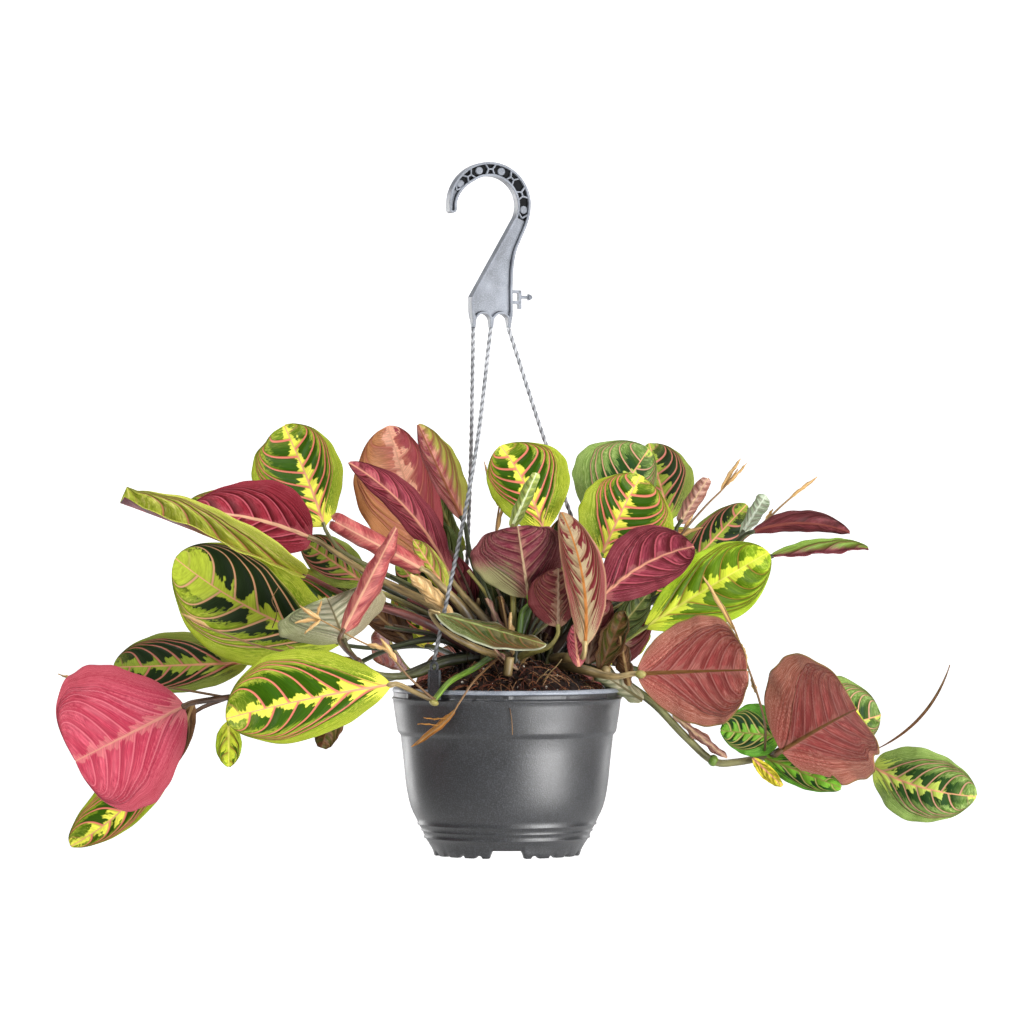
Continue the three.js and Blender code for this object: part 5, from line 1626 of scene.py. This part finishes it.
# Leaves seen only as scraps between the others.
scraps = {
    "flap_left": dict(base=(-108, -60, -4), tip=(-119, -58, -37), halves=(10, 9), blunt=0.35, snub=2.5,
        fold=24, under="dry"),
    "crimson_small": dict(base=(46, -60, 15), tip=(43, -64, 42), halves=(6, 7), under="burgundy"),
    "green_low_right": dict(base=(168, -2, -46), tip=(216, -30, -64), halves=(9, 10), upper="fresh"),
    "yellow_flake": dict(base=(160, -8, -46), tip=(179, -12, -64), halves=(4, 5), upper="yellow"),
    "brown_behind_pink": dict(base=(-203, -24, -10), tip=(-219, -20, -52), halves=(7, 9), under="brown"),
    "sheath_on_runner": dict(base=(108, -3, -18), tip=(143, -8, -46), halves=(4, 4), curl=60,
        under="fadedPink"),
    "sheath_over_rim": dict(shows="under", base=(88, -18, -8), tip=(62, -36, 9), halves=(12, 11), rise=6,
        curl=96, blunt=0.3, upper="olive", under="pale", quilt=0.3),
    "peach_flap": dict(base=(-34, -44, 46), tip=(-62, -60, 74), halves=(5, 7), curl=50, under="straw",
        quilt=0.3),
    "green_patch": dict(base=(-38, -30, 62), tip=(-60, -36, 96), halves=(6, 8), upper="soft"),
    "heart_a": dict(base=(-34, 12, 36), tip=(-72, 22, 82), halves=(12, 15), upper="dark"),
    "heart_b": dict(base=(-16, 6, 34), tip=(-40, 12, 88), halves=(12, 12), under="burgundy"),
    "heart_c": dict(base=(0, 0, 22), tip=(-12, 6, 74), halves=(12, 12), upper="olive"),
    "heart_d": dict(base=(22, -14, 22), tip=(24, -8, 78), halves=(15, 14), under="deepCrimson"),
    "heart_e": dict(base=(46, -2, 14), tip=(68, 6, 66), halves=(15, 17), upper="dark"),
    "heart_f": dict(base=(60, 8, 34), tip=(98, 18, 78), halves=(14, 14), upper="olive"),
    "heart_g": dict(base=(-62, 0, 28), tip=(-98, 10, 58), halves=(9, 11), under="brown"),
    "heart_h": dict(base=(-34, 24, 66), tip=(-58, 34, 112), halves=(14, 16), upper="olive"),
    "heart_i": dict(base=(28, 10, 58), tip=(40, 18, 112), halves=(13, 14), upper="dark"),
    "heart_j": dict(base=(-70, 14, 36), tip=(-112, 22, 68), halves=(9, 10), upper="olive"),
    "heart_k": dict(base=(70, -6, 14), tip=(90, 2, 56), halves=(11, 13), under="deepCrimson"),
    "heart_l": dict(base=(4, 4, 40), tip=(8, 10, 92), halves=(9, 9), upper="olive"),
    "heart_m": dict(base=(60, -30, 12), tip=(76, -26, 50), halves=(10, 10), curl=50, upper="dry"),
    "heart_n": dict(base=(52, -26, 16), tip=(64, -24, 62), halves=(9, 10), under="deepCrimson"),
    "heart_o": dict(base=(66, -24, 30), tip=(92, -22, 62), halves=(9, 10), upper="olive"),
    "heart_p": dict(base=(79, -34, 2), tip=(73, -30, 34), halves=(7, 6), curl=60, under="brown"),
}

# Dried flower stalks: a thin line, then bracts as base, tip and half width. Finish 1 is the browner one.
driedStalks = {
    "left_front": {
        "line": ((-45.6, -72, -6.5), (-62, -84, 9), (-78, -92, 27), (-88, -95, 30), (-118, -97, 46)),
        "bracts": (((-70, -90, 19), (-80, -94, 34), 2.6), ((-88, -95, 30), (-76, -94, 27), 2.2),
                   ((-118, -97, 46), (-131, -100, 55), 2.4), ((-118, -97, 46), (-134, -99, 44), 1.8),
                   ((-118, -97, 46), (-128, -101, 37), 1.6), ((-120, -97, 48), (-117, -101, 58), 1.3)),
    },
    "left_long": {
        "line": ((-97, -50, 20), (-130, -58, 23), (-157, -60, 28), (-189, -58, 39), (-206, -54, 47)),
        "bracts": (((-190, -58, 39), (-209, -54, 49), 1.9), ((-130, -58, 23), (-141, -60, 29), 1.4)),
    },
    "left_tip": {
        "line": ((-182, -18, -6), (-220, -14, 0), (-262, -16, 3), (-284, -19, 7)),
        "bracts": (((-276, -18, 5), (-291, -20, 9), 1.1), ((-262, -16, 3), (-270, -18, -6), 1.6)),
    },
    "centre_high": {
        "line": ((-4, -22, 70), (-7, -16, 101), (-5, -12, 126), (-12, -10, 140)),
        "bracts": (((-6, -13, 118), (-15, -9, 147), 1.8), ((-7, -16, 100), (-2, -18, 122), 1.6)),
    },
    "right_high": {
        "line": ((98, 6, 78), (116, 10, 102), (131, 12, 119), (142, 12, 130), (151, 10, 142)),
        "bracts": (((140, 12, 128), (153, 10, 149), 1.9), ((143, 12, 131), (157, 12, 146), 1.3),
                   ((116, 10, 102), (122, 8, 116), 2.2), ((112, 10, 97), (128, 6, 104), 2.0)),
    },
    "right_thin": {
        "line": ((152, -6, 95), (168, -6, 108), (182, -6, 121), (199, -8, 134)),
        "bracts": (((184, -6, 123), (202, -8, 137), 1.5), ((168, -6, 108), (173, -8, 116), 1.4)),
    },
    "right_hanging": {
        "line": ((168, -4, -42), (166, -44, -22), (160, -66, -2), (153, -68, 18), (146, -66, 38),
                 (140, -62, 51), (127, -54, 71)),
        "bracts": (((146, -66, 38), (126, -54, 73), 2.1), ((153, -68, 18), (150, -69, 30), 1.8),
                   ((160, -66, -2), (156, -68, 8), 1.8)),
    },
    "over_pot": {
        "line": ((-6, -46, 20), (-13, -62, 14), (-22, -75, 5), (-30, -78, -7), (-36, -78, -16),
                 (-58, -68, -34)),
        "bracts": (((-33, -78, -12), (-61, -67, -36), 3.4), ((-40, -77, -17), (-53, -74, -17), 0.6),
                   ((-44, -76, -22), (-57, -74, -21), 0.5)),
        "finish": 1,
    },
    "straw_on_pot": {
        "line": ((2, -75.2, -11), (3.2, -74.5, -19), (3.6, -73.4, -28)),
        "bracts": (),
    },
    "curl_left": {
        "line": ((-150, -62, 40), (-147, -66, 50), (-150, -68, 58), (-146, -68, 66)),
        "bracts": (),
    },
}

# Joints and cut ends of the stems: place, way it points, radius, length and look.
knots = (
    ((-46.5, -72.5, -7.5), (-0.3, -0.1, -1), 3.2, 4.0, "yellow"),
    ((1, -51, 15), (0.15, -0.1, 1), 3.0, 12.0, "beige"),
    ((134.5, 1, -48), (1, 0, -0.2), 3.9, 7.0, "fresh"),
    ((86, -44, 9.6), (1, -0.75, 0.06), 2.7, 8.0, "yellow"),
    ((64, -34, 12), (1, -0.4, -0.2), 3.0, 6.0, "beige"),
    ((-128, -13, -1), (-1, 0, -0.1), 3.2, 6.0, "brown"),
    ((-96, -49.5, 18), (-0.3, -0.1, 1), 3.0, 6.0, "brown"),
    ((222, 0, -54), (1, 0, 0.2), 2.6, 5.0, "brown"),
)


def addScraps():
    for name, leaf in scraps.items():
        growLeaf("scrap_" + name, name, fullLeaf({"veins": 4.5, **leaf}))


# A place to grow from, close to one of the crowns.
def pickCrown(rng):
    clump = clumps[rng.choice(("left", "left", "centre", "centre", "right", "right", "back"))]
    x, y = clump["crown"]
    return x + rng.uniform(-6, 6), y + rng.uniform(-6, 6)


def addHeartStalks():
    rng = random.Random(5)
    gather = newGather()
    for i in range(heartSetup["stalks"]):
        x, y = pickCrown(rng)
        foot = (x, y, moundHeight(math.hypot(x, y)) - 1)
        side = 1 if x + rng.uniform(-22, 22) > 4 else -1
        wide = side * rng.uniform(8, 70)
        tall = rng.uniform(34, 88) * (1 - abs(wide) / 190)
        deep = rng.uniform(-8, 26)
        end = (x + wide, y + deep, foot[2] + tall)
        middle = (x + wide * 0.38, y + deep * 0.5, foot[2] + tall * rng.uniform(0.5, 0.66))
        radius = rng.uniform(*heartSetup["stalkRadius"])
        look = rng.choice(heartSetup["stalkLooks"])
        addStem(gather, dict(start=foot, via=(middle, end), radius=radius, look=look, sheath=0), None, rng)
    settle("heartStalks", gather, [stemSkin], "stem")


def addSheaths():
    rng = random.Random(8)
    names = heartSetup["sheathSkins"]
    finishes = [skins[name] for name in names]
    gather = newGather()
    for i in range(heartSetup["sheaths"]):
        x, y = pickCrown(rng)
        low = moundHeight(math.hypot(x, y)) - 2
        turn = rng.uniform(0, 2 * math.pi)
        lean = rng.uniform(4, 26)
        tall = rng.uniform(14, 48)
        x += rng.uniform(-10, 10)
        y += rng.uniform(-8, 8)
        half = rng.uniform(2.0, 5.0)
        tip = (x + lean * math.cos(turn) * 1.4, y + lean * math.sin(turn) * 0.7, low + tall)
        leaf = fullLeaf(dict(
            shows="under", base=(x, y, low), tip=tip, halves=(half, half * rng.uniform(0.7, 1.2)),
            veins=1.5, curl=rng.uniform(50, 140), quilt=0.2, wave=1.1, blunt=rng.uniform(0.25, 0.6),
            widest=rng.uniform(0.25, 0.5), roll=rng.uniform(-60, 60), twist=rng.uniform(-70, 70),
            rise=rng.uniform(-3, 3),
        ))
        skin = rng.randrange(len(names))
        leafSheet(gather, f"sheath{i}", leaf, (skin, skin))
    settle("paperySheaths", gather, finishes, "leaf_underside")


def addStraws():
    rng = random.Random(21)
    gather = newGather()
    for i in range(heartSetup["straws"]):
        x, y = pickCrown(rng)
        x += rng.uniform(-26, 26)
        y += rng.uniform(-22, 14)
        low = moundHeight(min(math.hypot(x, y), mixSetup["radius"])) + 1
        turn = rng.uniform(0, 2 * math.pi)
        length = rng.uniform(8, 30)
        tilt = rng.uniform(0.05, 0.9)
        line = []
        for k in range(7):
            s = k / 6
            out = length * s * math.cos(tilt)
            sway = rng.uniform(-0.4, 0.4)
            height = low + length * s * math.sin(tilt)
            line.append((x + out * math.cos(turn) + sway, y + out * math.sin(turn) * 0.7, height))
        tints = tintsAlong(rng.choice(heartSetup["strawColours"]), np.linspace(0, 1, 7), 5)
        addTube(gather, toFrame(smoothLine(line, 6)), np.linspace(0.42, 0.16, 7) * mm, 5, tint=tints)
    settle("dryStraws", gather, [stemSkin], "stem")


def addDriedStalks():
    rng = random.Random(3)
    stalks = newGather()
    bracts = newGather()
    for name, stalk in driedStalks.items():
        line = smoothLine(stalk["line"], 36)
        thick = 0.32 if name.startswith(("straw", "curl")) else 0.8
        radius = thick * (1.1 - 0.5 * np.linspace(0, 1, 37)) * mm
        colours = ("7a5630", "c9a066") if rng.random() < 0.6 else ("5a3c24", "b98c54")
        tints = tintsAlong(colours, np.linspace(0, 1, 37), 8)
        addTube(stalks, toFrame(line), radius, 8, tint=tints)
        for i, (base, tip, half) in enumerate(stalk["bracts"]):
            leaf = fullLeaf(dict(
                shows="under", base=base, tip=tip, halves=(half, half), curl=70, veins=1, quilt=0.1,
                wave=0.3, thick=0.3, least=0.2, widest=0.4, blunt=0.7, rise=rng.uniform(-2, 2),
                roll=rng.uniform(-30, 30),
            ))
            leafSheet(bracts, f"{name}{i}", leaf, (stalk.get("finish", 0),) * 2)
    settle("driedStalks", stalks, [stemSkin], "stem")
    settle("driedBracts", bracts, [skins["straw"], skins["tan"]], "leaf_underside")


def addKnots():
    gather = newGather()
    for place, way, radius, length, look in knots:
        way = np.array(way, dtype=float)
        way /= np.linalg.norm(way)
        shares = np.linspace(-0.5, 0.5, 9)
        line = [np.array(place, dtype=float) + way * length * share for share in shares]
        cut = length > 10  # a cut stub keeps its full width up to the cut
        size = np.full(9, radius) if cut else radius * np.sqrt(np.maximum(1 - (2 * shares) ** 2, 0.1))
        tints = tintsAlong(stemLooks[look], np.linspace(0, 1, 9), 14)
        addTube(gather, toFrame(line), size * mm, 14, tint=tints)
    settle("stemKnots", gather, [stemSkin], "stem")


addScraps()
addHeartStalks()
addSheaths()
addStraws()
addDriedStalks()
addKnots()
print("old growth added")


studio = {
    "clearance": 0.35,  # from the pot down to the floor
    "floorColour": "f2f2f2",
    "frontColour": "c4c4c4",
    "sky": 0.13,
    "wallGlow": 0.72,
    "floorGlow": 0.3,
    "lamps": (
        # name, place, aim, width, height, watts
        ("keyLamp", (-1.2, -1.7, 1.2), (0.0, 0.0, -0.25), 0.45, 0.45, 30),
        ("stripLamp", (1.05, -1.0, -0.42), (0.0, 0.0, -0.36), 0.95, 0.8, 28),
        ("frontLamp", (0.9, -2.6, 1.4), (0.0, 0.0, -0.2), 0.9, 0.9, 12),
        ("topLamp", (0.1, -0.2, 1.5), (0.0, 0.0, -0.2), 0.8, 0.8, 16),
        ("leftEdge", (-1.2, 1.6, -0.2), (0.0, 0.0, -0.35), 0.6, 1.2, 14),
        ("rightEdge", (1.35, 1.6, -0.2), (0.0, 0.0, -0.35), 0.6, 1.2, 7),
    ),
}


# The floor and wall glow only where they lie behind the plant, so that they do not flood it with light.
def stageFinish():
    wiring = Wiring("studioFloor", 0.9)
    split = wiring.add("ShaderNodeSeparateXYZ")
    wiring.feed(split.inputs[0], wiring.place)
    x, y, z = split.outputs
    pale = wiring.mix(wiring.grain(3.0, 2), studio["floorColour"], "ffffff")
    wiring.colour(wiring.mix(wiring.fade(y, 0.6, -0.4, 0.0, 0.75), pale, studio["frontColour"]))
    aside = wiring.fade(wiring.sum("ABSOLUTE", x), 1.6, 1.0)
    far = wiring.fade(y, 0.3, 3.2, studio["floorGlow"], studio["wallGlow"])
    near = wiring.fade(y, 0.2, 1.6)
    glow = wiring.sum("MULTIPLY", wiring.sum("MULTIPLY", aside, far), near)
    wiring.feed(wiring.shader.inputs["Emission Color"], "ffffff")
    wiring.feed(wiring.shader.inputs["Emission Strength"], glow)
    return wiring.material


def buildStage():
    low = potLow.z - studio["clearance"]
    back = 3.9
    reach = 9.0
    bend = 0.9
    profile = [(-reach, low)]
    turns = np.linspace(0, math.pi / 2, 24)
    profile += [(back + bend * math.sin(turn), low + bend * (1 - math.cos(turn))) for turn in turns]
    profile.append((back + bend, low + reach))
    points = [(x, y, z) for x in (-reach, reach) for y, z in profile]
    count = len(profile)
    faces = [[i, i + 1, count + i + 1, count + i] for i in range(count - 1)]
    gather = newGather()
    addShape(gather, points, faces)
    floor = makePiece("studioFloor", gather, [stageFinish()], True)
    for name, place, aim, width, height, watts in studio["lamps"]:
        data = bpy.data.lights.new(name, "AREA")
        data.shape = "RECTANGLE"
        data.energy = watts
        data.size = width
        data.size_y = height
        lamp = bpy.data.objects.new(name, data)
        lamp.location = place
        lamp.rotation_euler = (Vector(aim) - Vector(place)).to_track_quat("-Z", "Y").to_euler()
        scene.collection.objects.link(lamp)
    world = bpy.data.worlds.new("studioSky")
    world.use_nodes = True
    world.node_tree.nodes["Background"].inputs["Color"].default_value = (1, 1, 1, 1)
    world.node_tree.nodes["Background"].inputs["Strength"].default_value = studio["sky"]
    scene.world = world


buildStage()
print("studio lit")
